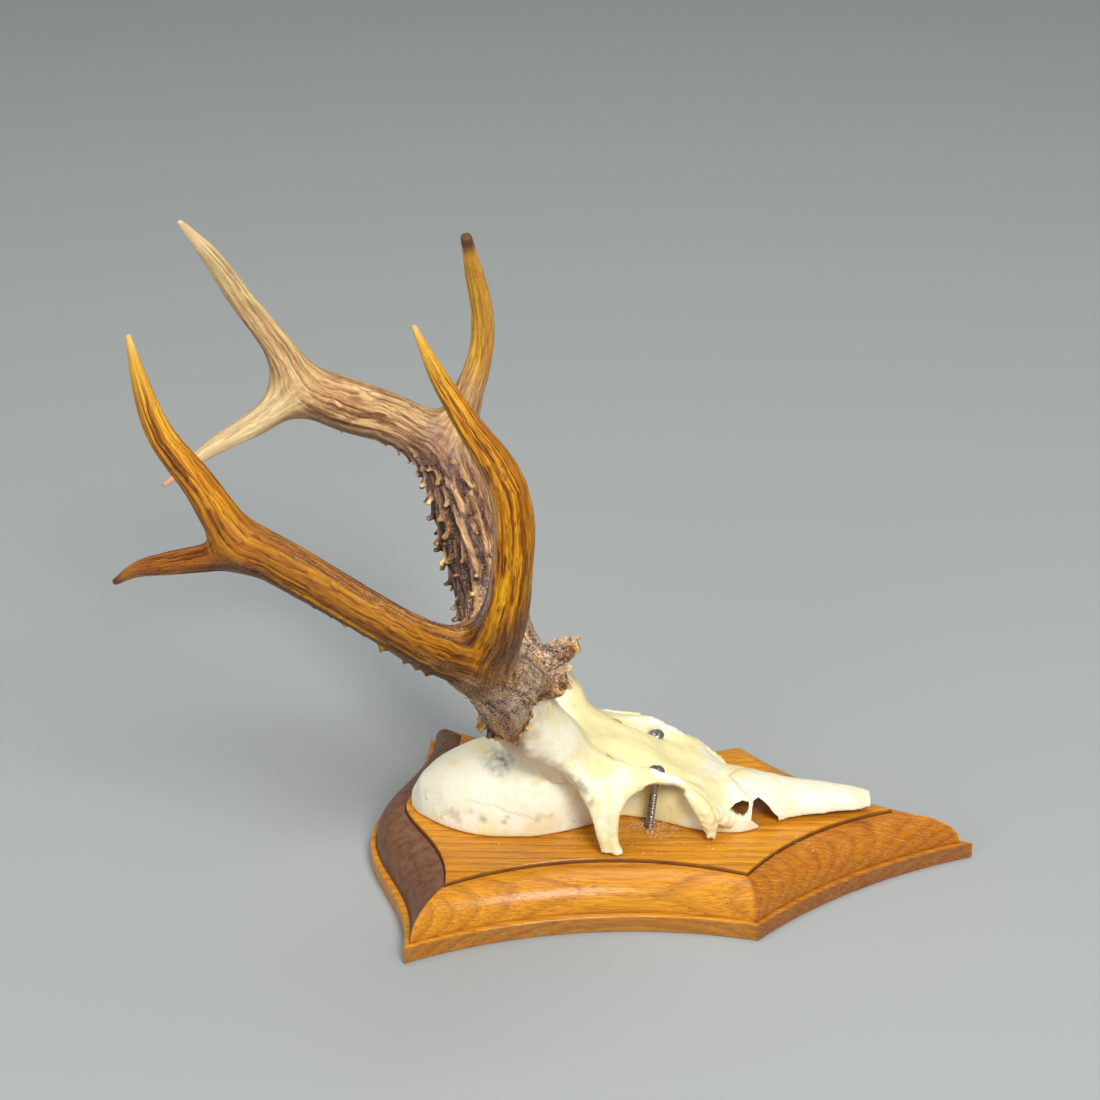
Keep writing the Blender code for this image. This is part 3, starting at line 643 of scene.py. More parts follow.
def bone_finish():
    """Old bone: the tint comes with the mesh, mottling, pores and fine dirt from here."""
    n = Nodes("bone")
    tint = n.attribute("tint", "Color")
    place = n.place()
    mottle = n.noise(place, 90.0, 4.0, 0.6)
    fine = n.noise(place, 900.0, 4.0, 0.65)
    pores = n.ramp(n.cells(place, 700.0), (0.0, 0.0), (0.10, 0.0), (0.2, 1.0))
    pore_zone = n.ramp(n.noise(place, 60.0, 2.0, 0.5), (0.48, 0.0), (0.62, 1.0))
    base = n.blend(n.ramp(mottle, (0.45, 0.0), (0.75, 0.35)), tint, n.blend(0.75, tint, (0.80, 0.66, 0.30)))
    base = n.blend(n.ramp(fine, (0.25, 0.35), (0.45, 0.0)), base, n.blend(0.5, tint, (0.55, 0.44, 0.28)))
    dark_pores = n.times(n.rest(pores), pore_zone)
    base = n.blend(n.times(dark_pores, 0.5), base, (0.40, 0.30, 0.18))
    height = n.plus(n.times(fine, 0.4), n.plus(n.times(mottle, 0.8), n.times(dark_pores, -0.5)))
    return n.finish(base_color=base, roughness=n.ramp(fine, (0.2, 0.6), (0.8, 0.42)),
                    normal=n.bump(height, 0.0006, 0.5), subsurface_weight=0.12,
                    subsurface_radius=(0.004, 0.003, 0.002), subsurface_scale=0.35, specular_ior_level=0.45)


def oak_finish():
    """Varnished oak, its grain along X; the wood's heart lies 60 mm below and 35 mm to the far side."""
    n = Nodes("oak")
    place = n.place()
    dark = n.attribute("end_grain", "Fac")
    groove = n.attribute("groove", "Fac")
    shaded_front_side = n.attribute("shaded_front_side", "Fac")
    wander = n.noise(n.stretch(place, (6, 30, 30)), 1.0, 3.0, 0.5)
    split = n.tree.nodes.new("ShaderNodeSeparateXYZ")
    n.link(place, split.inputs[0])
    y = n.plus(split.outputs["Y"], -0.035)
    z = n.plus(split.outputs["Z"], 0.06)
    radius = n.math("SQRT", n.plus(n.times(y, y), n.times(z, z)))
    radius = n.plus(radius, n.times(wander, 0.011))
    rings = n.math("FRACT", n.times(radius, 310.0))
    band = n.ramp(rings, (0.0, 0.85), (0.35, 0.25), (0.8, 0.0), (0.97, 0.9))
    fibres = n.noise(n.stretch(place, (45, 1500, 1500)), 1.0, 3.0, 0.6)
    broad = n.noise(n.stretch(place, (7, 70, 70)), 1.0, 3.0, 0.55)
    pores = n.ramp(n.cells(n.stretch(place, (130, 2600, 2600)), 1.0), (0.0, 1.0), (0.16, 1.0), (0.3, 0.0))
    pores = n.times(pores, n.ramp(rings, (0.5, 0.2), (0.75, 1.0)))
    angle = n.math("ARCTAN2", y, z)
    join = n.tree.nodes.new("ShaderNodeCombineXYZ")
    for source, target in zip((split.outputs["X"], n.times(angle, 0.9), n.times(radius, 0.35)), join.inputs):
        n.link(source, target)
    rays = n.noise(n.stretch(join.outputs[0], (170, 1500, 260)), 1.0, 1.0, 0.4)
    rays = n.ramp(rays, (0.60, 0.0), (0.68, 1.0))
    base = n.blend(n.times(band, 0.8), (0.76, 0.29, 0.009), (0.33, 0.088, 0.003))
    base = n.blend(n.ramp(broad, (0.3, 0.0), (0.7, 0.55)), base, (0.78, 0.35, 0.022))
    base = n.blend(n.times(n.ramp(fibres, (0.35, 1.0), (0.6, 0.0)), 0.5), base, (0.24, 0.062, 0.005))
    # painted shade: the moulding on the near front edge is darkened; the extra ray flecks there are real
    # grain
    base = n.blend(n.times(shaded_front_side, 0.9), base, n.tinted(base, (0.66, 0.50, 0.34)))
    flecks = n.plus(0.35, n.times(shaded_front_side, 0.35))
    base = n.blend(n.times(rays, flecks), base, (0.82, 0.46, 0.12))
    base = n.blend(n.times(pores, 0.75), base, (0.13, 0.035, 0.006))
    dusty = n.noise(place, 260.0, 4.0, 0.7)
    end = n.blend(n.ramp(dusty, (0.35, 0.0), (0.7, 0.8)), (0.085, 0.030, 0.018), (0.20, 0.115, 0.085))
    base = n.blend(dark, base, end)
    # painted shade, with some dark stain, in the groove above the bead
    base = n.blend(groove, base, (0.07, 0.02, 0.006))
    dust = n.ramp(n.cells(place, 330.0), (0.0, 1.0), (0.035, 1.0), (0.06, 0.0))
    dust = n.times(dust, n.ramp(n.noise(place, 34.0, 2.0, 0.5), (0.5, 0.0), (0.62, 1.0)))
    base = n.blend(n.times(dust, 0.7), base, (0.78, 0.68, 0.52))
    height = n.plus(n.times(pores, -0.9), n.times(fibres, 0.35))
    rough = n.plus(n.ramp(fibres, (0.3, 0.36), (0.7, 0.26)), n.times(dark, 0.25))
    return n.finish(base_color=base, roughness=rough, normal=n.bump(height, 0.0004, 0.4),
                    coat_weight=0.22, coat_roughness=0.25, specular_ior_level=0.22)


def steel_finish():
    """Dull steel with a little rust."""
    n = Nodes("steel")
    place = n.place()
    wear = n.noise(place, 700.0, 4.0, 0.65)
    rust = n.ramp(n.noise(place, 420.0, 4.0, 0.7), (0.52, 0.0), (0.72, 1.0))
    base = n.blend(n.ramp(wear, (0.3, 0.0), (0.7, 1.0)), (0.20, 0.195, 0.19), (0.45, 0.44, 0.42))
    base = n.blend(n.times(rust, 0.6), base, (0.16, 0.08, 0.04))
    return n.finish(base_color=base, metallic=0.9, roughness=n.ramp(wear, (0.3, 0.48), (0.7, 0.30)),
                    normal=n.bump(wear, 0.0002, 0.4))


def crumb_finish():
    """Pale and brown wood dust."""
    n = Nodes("sawdust")
    mottle = n.noise(n.place(), 900.0, 2.0, 0.5)
    return n.finish(base_color=n.ramp(mottle, (0.35, (0.42, 0.24, 0.10)), (0.65, (0.82, 0.68, 0.46))),
                    roughness=0.85)


# ================================================================ shield
def arc_between(a, b, sag, count):
    """Points from a to b on an arc that bows by sag to the left of the line."""
    a, b = np.array(a), np.array(b)
    chord = b - a
    half = np.linalg.norm(chord) / 2
    along = chord / (2 * half)
    left = np.array([-along[1], along[0]])
    radius = (half * half + sag * sag) / (2 * sag)
    middle = (a + b) / 2 - left * (radius - sag)
    angles = np.linspace(-1, 1, count) * math.asin(half / radius)
    return middle + radius * (np.outer(np.sin(angles), along) + np.outer(np.cos(angles), left))


def wide_end():
    """The bowed rear edge."""
    back_x, half_width = CORNER_BACK
    y = np.linspace(1, -1, END_POINTS) * half_width
    swell = (0.5 * (1 + np.cos(np.pi * y / half_width))) ** 1.3
    return np.column_stack([back_x - (SHIELD_LENGTH / 2 + back_x) * swell, y])


def shield_sides():
    """The five edges in turn, each with the width of its moulding."""
    back_x, back_y = CORNER_BACK
    side_x, side_y = CORNER_SIDE
    side = arc_between((back_x, -back_y), (side_x, -side_y), SIDE_SAG, SIDE_POINTS)
    front = arc_between((side_x, -side_y), (SHIELD_LENGTH / 2, 0.0), FRONT_SAG, FRONT_POINTS)
    return [(wide_end(), MOULD_BACK), (side, MOULD_SIDE), (front, MOULD_SIDE),
            (front[::-1] * (1, -1), MOULD_SIDE), (side[::-1] * (1, -1), MOULD_SIDE)]


def side_normals(side):
    """The way straight into the board at each point of an edge."""
    along = np.gradient(side, axis=0)
    along /= lengths(along)[:, None]
    return np.column_stack([-along[:, 1], along[:, 0]])


def shield_ring(inset):
    """The outline moved in by a share of the moulding's width, mitred at its corners."""
    sides = shield_sides()
    normals = [side_normals(side) for side, _ in sides]
    mitres = []
    for i in range(len(sides)):
        j = (i + 1) % len(sides)
        both = np.array([normals[i][-1], normals[j][0]])
        mitres.append(np.linalg.solve(both, np.array([sides[i][1], sides[j][1]])))
    ring = []
    for i, (side, width) in enumerate(sides):
        t = np.linspace(0, 1, len(side))[:, None]
        start = mitres[i - 1] - width * normals[i][0]
        end = mitres[i] - width * normals[i][-1]
        ring.extend((side + inset * (width * normals[i] + (1 - t) * start + t * end))[:-1])
    return np.array(ring)


def shield_profile():
    """Share of the moulding's width, height, and a mark where the step's groove lies, for its painted shade
    and dark stain.
    """
    top, face = EDGE_HEIGHT, SHIELD_THICKNESS
    profile = [(0.03, 0.0, 0), (0.0, 0.5, 0), (0.0, 2.5, 0), (0.0, 5, 0), (0.0, top - 0.7, 0),
               (0.02, top - 0.2, 0), (0.055, top, 0), (0.12, top, 0), (LEDGE - 0.01, top, 0.4)]
    for turn in np.radians(np.linspace(2, 88, 18)):
        inset = LEDGE + (1 - LEDGE) * (1 - math.cos(turn)) / (1 - math.cos(math.radians(88)))
        profile.append((inset, top + 0.7 + (BEAD_TOP - top - 0.7) * math.sin(turn), 0))
    return profile + [(1.005, BEAD_TOP - 0.35, 1), (1.02, BEAD_TOP - 0.3, 1), (GROOVE, BEAD_TOP + 0.3, 1),
                      (1.035, face - 0.45, 0.7), (1.05, face - 0.1, 0.1), (1.09, face, 0), (1.3, face, 0)]


def make_shield():
    """The oak board with its moulded edge; its wide end shows dark end grain."""
    insets, heights, marks = np.array(shield_profile()).T
    outlines = [shield_ring(inset) for inset in insets]
    count = len(outlines[0])
    mesh = ringed("oak_shield", [np.column_stack([line, np.full(count, z)])
                                 for line, z in zip(outlines, heights)])
    inset, height, mark = (np.repeat(column, count) for column in (insets, heights, marks))
    at = np.tile(np.arange(count), len(outlines))
    front = END_POINTS + SIDE_POINTS - 2
    # the moulding on the near front edge, which gets painted shade and more ray flecks
    shaded_front_side = (at >= front) & (at < front + FRONT_POINTS - 1) & (inset < GROOVE)
    end_grain = np.where(at < END_POINTS - 1, 0.9 * ((inset >= LEDGE - 0.01) & (inset < GROOVE)),
                         0.42 * (height < EDGE_HEIGHT - 0.3))
    paint(mesh, "shaded_front_side", shaded_front_side)
    paint(mesh, "end_grain", end_grain)
    # the groove's mark: painted shade with some dark stain
    paint(mesh, "groove", 0.85 * mark)
    show("oak_shield", mesh, oak_finish(), ("plaque",), 28)


# ================================================================ skull
def woven(rows, lengthwise=60, between=9):
    """A grid of points on a smooth surface through rows of x, y, z."""
    lines = []
    for row in rows:
        fine = smooth_line(row, 12)
        lines.append(resampled(fine, range(len(fine)), lengthwise))
    lines = np.array(lines)
    return np.array([smooth_line(lines[:, i], between) for i in range(lengthwise)])


def sheet_of(grid, thickness):
    """A sheet of bone with its outer face on the grid of points, thickened behind it."""
    rows, columns = grid.shape[:2]
    faces = []
    for row in range(rows - 1):
        for i in range(columns - 1):
            low = row * columns + i
            faces.append((low, low + columns, low + columns + 1, low + 1))
    sheet = loose_object("sheet", mesh_of("sheet", grid.reshape(-1, 3) * MM, faces))
    thick = sheet.modifiers.new("bone", "SOLIDIFY")
    thick.thickness = thickness * MM
    thick.offset = -1.0
    thick.use_even_offset = False
    return baked(sheet)


def arch_sheet(stations):
    """A thin sheet of bone over arched sections."""
    span = np.sin(np.linspace(-1, 1, 61) * math.pi / 2)
    grid = []
    for x, width, top, edge, square in even_line(stations, 1.1):
        grid.append([(x, s * width, edge + (top - edge) * (1 - abs(s) ** square) ** 0.5) for s in span])
    return sheet_of(np.array(grid), SHEET)


def box(centre, size):
    """An upright box by its middle and its sizes."""
    shape = bmesh.new()
    place = Matrix.Translation(Vector(centre) * MM)
    bmesh.ops.create_cube(shape, size=1.0, matrix=place @ Matrix.Diagonal((*[s * MM for s in size], 1.0)))
    return made_mesh(shape, "box")


def rod(centre, radius, length):
    """An upright round rod."""
    shape = bmesh.new()
    bmesh.ops.create_cone(shape, cap_ends=True, segments=40, radius1=radius * MM, radius2=radius * MM,
                          depth=length * MM, matrix=Matrix.Translation(Vector(centre) * MM))
    return made_mesh(shape, "rod")


def side_prism(outline, y_from, y_to):
    """A prism across the skull, its outline in x and z."""
    return outward(ringed("prism", [[(x, y, z) for x, z in outline] for y in (y_from, y_to)]))


def coronet_frame(side):
    """The coronet's middle, its axis, and the ways to the front and inwards."""
    sign = SIDES[side]
    centre = np.array(CORONET_CENTRE) * (1, sign, 1)
    axis = np.array(CORONET_AXIS) * (1, sign, 1)
    axis /= np.linalg.norm(axis)
    front = np.array((1.0, 0, 0)) - axis * axis[0]
    front /= np.linalg.norm(front)
    return centre, axis, front, np.cross(front, axis) * sign


def rim_at(side, turn):
    """Radius and height of the coronet's lower edge at a turn in degrees from the front, outwards."""
    table = np.array(RIMS[side], float)
    turn = (np.asarray(turn, float) + 180) % 360 - 180
    return np.interp(turn, table[:, 0], table[:, 1]), np.interp(turn, table[:, 0], table[:, 2])


def round_coronet(side, spot):
    """For points in mm: height along the coronet's axis, offset from it, the rim's radius and height."""
    centre, axis, front, inner = coronet_frame(side)
    away = spot - centre
    height = away @ axis
    turn = np.degrees(np.arctan2(-(away @ inner), away @ front))
    return height, away - height[:, None] * axis, *rim_at(side, turn)


def rim_solid(side, shift, reach):
    """All that lies beyond the coronet's ragged joint, above it for a positive reach or below it."""
    centre, axis, front, inner = coronet_frame(side)
    turns = np.arange(0, 360, 6)
    _, heights = rim_at(side, turns)
    middle = heights.mean()
    rings = []
    # the inner ring follows the rim a little less, the outer ones lie beyond it
    for radius, share, level in ((8, 0.85, None), (27, 1.0, None), (27, 1.0, reach)):
        ring = []
        for turn, height in zip(np.radians(turns), heights):
            out = math.cos(turn) * front - math.sin(turn) * inner
            height = middle + share * (height - middle) + shift
            ring.append(centre + out * radius + axis * (height if level is None else level))
        rings.append(ring)
    return outward(ringed("joint", rings, centre + axis * (middle + shift), centre + axis * reach))


def near_line(points, line):
    """Distance from each point to a polyline."""
    best = np.full(len(points), 1e9)
    line = np.array(line, float)
    for a, b in zip(line, line[1:]):
        t = np.clip(((points - a) @ (b - a)) / ((b - a) @ (b - a)), 0, 1)
        best = np.minimum(best, lengths(points - a - t[:, None] * (b - a)))
    return best


def skull_mesh():
    """The cut upper skull in one skin, with its openings, screw holes and seats for the antlers."""
    pieces = [arch_sheet(VAULT), blob((-98, 0, 24), np.eye(3), (4, 8, 9), 3)]
    frontal = [mirrored(row, -1) for row in FRONTAL[:0:-1]] + FRONTAL
    pieces.append(sheet_of(woven(frontal, 90, 7), SHEET))
    for sign in SIDES.values():
        wall = woven([mirrored(row, sign) for row in TEMPLE[::sign]], 30, 12)
        pieces.append(sheet_of(wall, SHEET))
    for sign in SIDES.values():
        bars = [mirrored(line, sign) for line in (BAR_BACK, BAR_FRONT)]
        pieces += [tube(even_line(bar, 1.0)) for bar in bars]
        fine = [even_line(bar, 0.5)[:, :3] for bar in bars]
        back, front = (resampled(line, range(len(line)), 40) for line in fine)
        share = np.linspace(0, 1, 9)[None, :, None]
        web = back[:, None, :] * (1 - share) + front[:, None, :] * share
        web[:, :, 1] -= sign * 0.5 * np.sin(np.linspace(0, math.pi, 9))[None, :]
        pieces.append(sheet_of(web if sign > 0 else web[:, ::-1], 2.0))
        for route in (TEAR_BAR, TEAR_SPUR, PEDICLE):
            pieces.append(tube(even_line(mirrored(route, sign), 1.2)))
    # the saw cut, then screw holes, nose notch, eye hole, brow slit and the antler's seat on each side
    cutters = [box((0, 0, SAWN_Z - 15), (300, 200, 30))]
    for side, sign in SIDES.items():
        x, y, z = SCREW_PLACES[side]
        slit_axes = np.array([(0.92, 0.1 * sign, -0.36), (-0.1 * sign, 1, 0), (0.36, 0, 0.92)])
        cutters += [rod((x, y, 40), SHAFT_RADIUS + 0.5, 40),
                    rod((x, y, z + 9.8), HEAD_RADIUS + 0.35, 20),
                    side_prism(NOTCH, sign * 5, sign * 30), side_prism(HOLE, sign * 9, sign * 30),
                    blob((-23, sign * 15.6, 53.4 if sign < 0 else 51.6), slit_axes, (3.4, 0.7, 2.0), 3),
                    rim_solid(side, -0.4, 70)]
    return grown_together("skull", pieces, VOXEL, 2, cutters)


def make_skull():
    """The skull with its sutures, pits and spongy places, its stains, and painted shade under the coronets,
    in creases and on downward faces.
    """
    mesh = skull_mesh()
    points = points_of(mesh)
    x, y, z = (points / MM).T
    neck = step(50, 56, z) * step(9, 13, np.abs(y)) * step(-28, -36, x)
    for side in SIDES:
        height, _, _, edge = round_coronet(side, points / MM)
        neck *= step(-0.5, 4, np.abs(edge - height - 0.4))
    move_points(mesh, relaxed(mesh, points, 40, 0.7 * neck))
    points = points_of(mesh)
    normals = normals_of(mesh)
    spot = points / MM
    x, y, z = spot.T
    out_y = np.abs(y)
    folded = np.column_stack([x, out_y, z])
    # sutures, pits and spongy places
    plan = np.column_stack([x, out_y + 0.7 * noise(spot * 0.9, 31)])
    seam = near_line(plan, [(22.5, 0), (27, 8), (30.5, 11.5), (33, 14.5)])
    middle = near_line(np.column_stack([x, y + 0.5 * noise(spot * 0.8, 32)]), [(-30, 0), (76, 0)])
    flank = np.column_stack([x, z + 0.6 * noise(spot * 0.7, 33)])
    side_seam = near_line(flank, [(-81, 36), (-74, 35.5), (-69, 35.2), (-62, 32.5), (-57, 32), (-51, 28.5)])
    upward = step(0.1, 0.5, normals[:, 2]) * step(30, 32, z)
    line_cut = np.maximum.reduce([step(0.75, 0.1, seam) * upward,
                                  0.2 * step(0.5, 0.1, middle) * upward * step(-5, 5, x),
                                  0.6 * step(0.6, 0.1, side_seam) * step(18, 21, out_y)])
    pits = np.clip(sum(np.exp(-(lengths(spot - place) / size) ** 2) for *place, size in PITS), 0, 1)
    spongy = step(12, 6, lengths(spot[:, ::2] - (14, 28))) * step(20, 23, out_y)
    crumbly = step(3.0, 1.0, near_line(folded[:, :2], [(-7, 21), (2, 19.5), (5, 20)])) * step(44, 46, z)
    rise = 0.30 * layered(spot * 0.11, 2, 3) + 0.10 * layered(spot * 0.6, 2, 5)
    rise = rise - 0.35 * line_cut - 0.8 * pits
    rise += spongy * 0.7 * layered(spot * 0.45, 3, 41) + crumbly * 0.5 * layered(spot * 0.6, 2, 43)
    rise *= step(SAWN_Z + 0.2, SAWN_Z + 1.2, z)
    points = points + normals * rise[:, None] * MM
    points[:, 2] = np.maximum(points[:, 2], (SAWN_Z + 0.12 * np.abs(noise(spot * 0.5, 47))) * MM)
    move_points(mesh, points)
    # colour: ivory, yellow fat stains, brown and grey marks, and painted shade under the coronets, in
    # creases and on downward faces
    plate = step(19, 13, out_y) * step(-45, -32, x) * step(16, 0, x)
    brow = step(-40, -28, x) * step(30, 20, x)
    yellow = step(-0.1, 0.7, layered(spot * 0.06, 3, 11) + 0.75 * plate + 0.35 * brow - 0.02)
    # painted shade along the furrow between the pedicle and the middle plate
    furrow = near_line(folded[:, :2], [(-46, 17.5), (-29, 15.8), (-20, 15.3), (-9, 16.5)])
    leg = step(6.5, 1.5, near_line(folded, [(-29, 31, 44), (-25.5, 34.5, 37), (-24.5, 36, 29)]))
    # a dark line in the crease where the pedicle meets the vault: painted shade and brown dirt
    ridge = near_line(folded, [(-65, 28, 66), (-58.9, 31.5, 64.4), (-53.2, 31.2, 61.6), (-45.7, 29.1, 56.5),
                               (-41.5, 27.9, 52.8), (-38, 29.2, 50.5), (-35.3, 30, 47.5), (-33, 32, 43)])
    ridge = step(3.8, 0.8, ridge + 1.5 * layered(spot * 0.3, 2, 54))
    veins = step(-0.6, 0.9, 1 - 5 * np.abs(noise(spot * 0.10 + 0.5 * noise(spot * 0.2, 91)[:, None], 92)))
    tint = laid_over(
        (0.88, 0.83, 0.66), ((0.86, 0.74, 0.34), 0.85 * yellow),
        ((0.76, 0.58, 0.27), 0.4 * step(0.3, 0.8, layered(spot * 0.09, 3, 17))),
        ((0.62, 0.52, 0.26), 0.55 * step(2.6, 0.3, furrow) * step(44, 47, z)),
        ((0.80, 0.64, 0.27), 0.85 * leg * step(-0.7, 0.3, layered(spot * 0.2, 2, 51))),
        ((0.30, 0.21, 0.09), 0.75 * ridge * step(-0.7, 0.5, layered(spot * 0.25, 2, 53))),
        ((0.72, 0.58, 0.28), 0.32 * veins * step(-0.2, 0.4, layered(spot * 0.05, 2, 93))))
    # below each coronet: brown dirt and a painted shade cast by the burr, mottled by noise
    dirt_and_shade = np.clip(0.55 + 0.5 * layered(spot * 0.22, 3, 57), 0, 1)
    for side, sign in SIDES.items():
        height, flat, _, edge = round_coronet(side, spot)
        below_coronet_dirt_and_shade = step(14, 2, edge - height) * (y * sign > 0) * step(24, 19, lengths(flat))
        tint = mix(tint, (0.38, 0.28, 0.13), 0.85 * below_coronet_dirt_and_shade * dirt_and_shade)
    smear = step(9, 3, lengths(spot - (-62, -30.5, 66.5)) + 3 * layered(spot * 0.3, 2, 58))
    stain = sum(weight * np.exp(-((x - sx) / wide) ** 2 - ((z - sz + slope * (x - sx)) / high) ** 2)
                for weight, sx, wide, sz, high, slope in STAINS)
    smoke = (y < 0) * stain * np.clip(0.75 + 0.9 * layered(spot * 0.45, 3, 23), 0, 1.5)
    blotch = step(0.25, 0.7, layered(spot * 0.16, 3, 61)) * step(37, 30, z) * step(-30, -34, x)
    # painted shade on faces that look downwards, 30 to 36 mm up and near the middle
    inside = step(0.15, -0.4, normals[:, 2]) * step(30, 36, z) * step(34, 30, out_y)
    paint(mesh, "tint", laid_over(
        tint, ((0.15, 0.12, 0.085), 0.8 * smear), ((0.13, 0.13, 0.135), np.clip(0.85 * smoke, 0, 0.9)),
        ((0.56, 0.42, 0.24), 0.55 * blotch), ((0.42, 0.28, 0.13), 0.75 * pits),
        ((0.60, 0.45, 0.25), 0.75 * line_cut), ((0.78, 0.62, 0.30), 0.6 * spongy),
        ((0.93, 0.92, 0.86), 0.9 * crumbly), ((0.72, 0.60, 0.38), 0.35 * step(SAWN_Z + 2.2, SAWN_Z, z)),
        ((0.56, 0.46, 0.37), 0.75 * inside)))
    show("deer_skull", mesh, bone_finish(), ("skull",))


# ================================================================ antlers
class Limb:
    """One limb's middle line with its frames."""

    def __init__(self, route, start):
        self.line = even_line(route, 1.0)
        self.reach, self.along, self.across, self.up = travel(self.line)
        self.slope = np.gradient(self.line[:, 3], self.reach)
        self.start = start

    def nearest(self, points):
        found = np.empty(len(points), int)
        for low in range(0, len(points), 6000):
            block = points[low:low + 6000]
            apart = ((block[:, None, :] - self.line[None, :, :3]) ** 2).sum(axis=2)
            found[low:low + 6000] = apart.argmin(axis=1)
        return found

    def gap(self, points, at):
        """Distance to the limb's round skin, and the way straight out of it."""
        offset = points - self.line[at, :3]
        run = np.einsum("ij,ij->i", offset, self.along[at])
        past = ((at == 0) & (run < 0)) | ((at == len(self.line) - 1) & (run > 0))
        out = np.where(past[:, None], offset, offset - run[:, None] * self.along[at])
        length = np.maximum(lengths(out), 1e-6)
        radius = self.line[at, 3] + np.where(past, 0, self.slope[at] * run)
        return length - radius, out / length[:, None]

    def place(self, points, at):
        """Place in the limb's own frame: two across, scaled to a round of 9 mm, and one along."""
        offset = points - self.line[at, :3]
        a = np.einsum("ij,ij->i", offset, self.across[at])
        b = np.einsum("ij,ij->i", offset, self.up[at])
        size = np.maximum(np.hypot(a, b), 0.4) / 9.0
        run = np.einsum("ij,ij->i", offset, self.along[at])
        return np.column_stack([a / size, b / size, self.start + self.reach[at] + run])

    def surface(self, s, out, lift):
        """A point at distance s along, straight out in a direction, lifted from the skin."""
        i = int(np.clip(round(s), 0, len(self.line) - 1))
        way = out - self.along[i] * out.dot(self.along[i])
        way /= np.linalg.norm(way)
        return self.line[i, :3] + way * (self.line[i, 3] + lift)


def joined_gap(points, limbs, spots, web):
    """Distance to the limbs' common skin, webbed at the forks, and the way out of it."""
    parts = [limb.gap(points, spots[name]) for name, limb in limbs.items()]
    total, way = parts[0]
    for gap, out in parts[1:]:
        soft = np.maximum(web - np.abs(total - gap), 0) / web
        share = np.where(total < gap, 0.5 * soft, 1 - 0.5 * soft)
        total = np.minimum(total, gap) - soft ** 2 * web / 4
        way = mix(way, out, share)
    return total, way / np.maximum(lengths(way), 1e-6)[:, None]


def coronet_meshes(side):
    """The ragged burr: its lip and tongue, the flaring foot above, ridged teeth, lumps and small knobs."""
    centre, axis, front, inner = coronet_frame(side)
    rng = np.random.RandomState(SEEDS[side][0])

    def out_at(turn):
        return math.cos(math.radians(turn)) * front - math.sin(math.radians(turn)) * inner

    def knob(place, out, sizes):
        made.append(blob(place, (out, axis, np.cross(out, axis)), sizes))

    made = []
    ring = []
    for turn in range(0, 373, 6):
        radius, height = rim_at(side, turn)
        thick = 2.0 + 0.3 * math.sin(turn * 0.11) + 0.25 * math.sin(turn * 0.31 + 2)
        ring.append((*(centre + out_at(turn) * (radius - thick - 0.9) + axis * (height + thick)), thick))
    made.append(tube(np.array(ring), 12))
    for spread in (-14, 0, 12):
        out = out_at(TONGUE_TURN[side] + spread)
        reach = 1 - abs(spread) / 140
        line = [(*(centre + out * r * reach + axis * h), size) for r, h, size in TONGUES[side]]
        made.append(tube(even_line(line, 1.0), 16))
    levels = CORONET_FLARE[side]
    turns = np.arange(0, 360, 6)
    middle = rim_at(side, turns)[1].mean()

    def on_skirt(turn, lift):
        """A point on the flaring foot of the antler, so far above its rim."""
        radius, height = rim_at(side, turn)
        inset = np.interp(lift, *zip(*levels))
        level = height + (middle - height) * 0.8 * step(0, levels[-1][0], lift)
        return centre + out_at(turn) * (radius + inset) + axis * (level + lift)

    rings = [[on_skirt(turn, lift) for turn in turns] for lift, _ in levels]
    made.append(outward(ringed("skirt", rings, centre + axis * (middle + 0.5),
                               centre + axis * (middle + levels[-1][0]))))
    turn = 0.0
    while turn < 360:
        radius, _ = rim_at(side, turn)
        chunky = 58 < turn < 175
        size = rng.uniform(1.0, 1.7) if chunky else rng.uniform(0.7, 1.15)
        out = out_at(turn)
        run = rng.uniform(3.0, 8.0) if chunky else rng.uniform(1.5, 5.0)
        lean = rng.uniform(-3, 3)
        line = [(*(on_skirt(turn + lean, run) - 0.6 * out), 0.5 * size),
                (*(on_skirt(turn + 0.5 * lean, 0.5 * run) + 0.1 * out), 0.8 * size),
                (*(on_skirt(turn, 1.4) + 0.8 * size * out), 1.0 * size),
                (*(on_skirt(turn, 0.3) + (1.4 * size + rng.uniform(0, 0.6)) * out), 1.05 * size)]
        made.append(tube(even_line(line, 0.7), 12))
        made.append(blob(line[-1][:3], np.eye(3), (size * 1.15, size * 1.15, size)))
        turn += math.degrees(rng.uniform(1.9, 3.2) * size / radius)
    for turn, radius, height, size in LUMPS[side]:
        out = out_at(turn)
        knob(centre + out * radius + axis * height, out, (1.5 * size, size, size))
    for _ in range(KNOBS):
        turn = rng.uniform(0, 360)
        lift = rng.uniform(1, levels[-1][0])
        size = rng.uniform(0.5, 1.2)
        out = out_at(turn)
        knob(on_skirt(turn, lift) - 0.3 * size * out, out, (size, 1.3 * size, size))
    return made


def thorn(limb, s, out, size):
    """A pearl on its ridge: a swelling line along the beam that ends in a knob bent outwards."""
    # along, lift and radius, for a pearl of size 1
    path = [(13, -0.9 / size, 0.6), (8, 0.0, 0.8), (3, 0.7, 1.0), (0.8, 1.3, 1.1), (-0.2, 2.1, 1.1),
            (-0.5, 2.9, 1.15)]
    line = [(*limb.surface(s + at * size, out, lift * size), r * size) for at, lift, r in path]
    return [tube(even_line(line, 0.8), 10),
            blob(line[-1][:3], np.eye(3), (1.4 * size, 1.35 * size, 1.1 * size))]


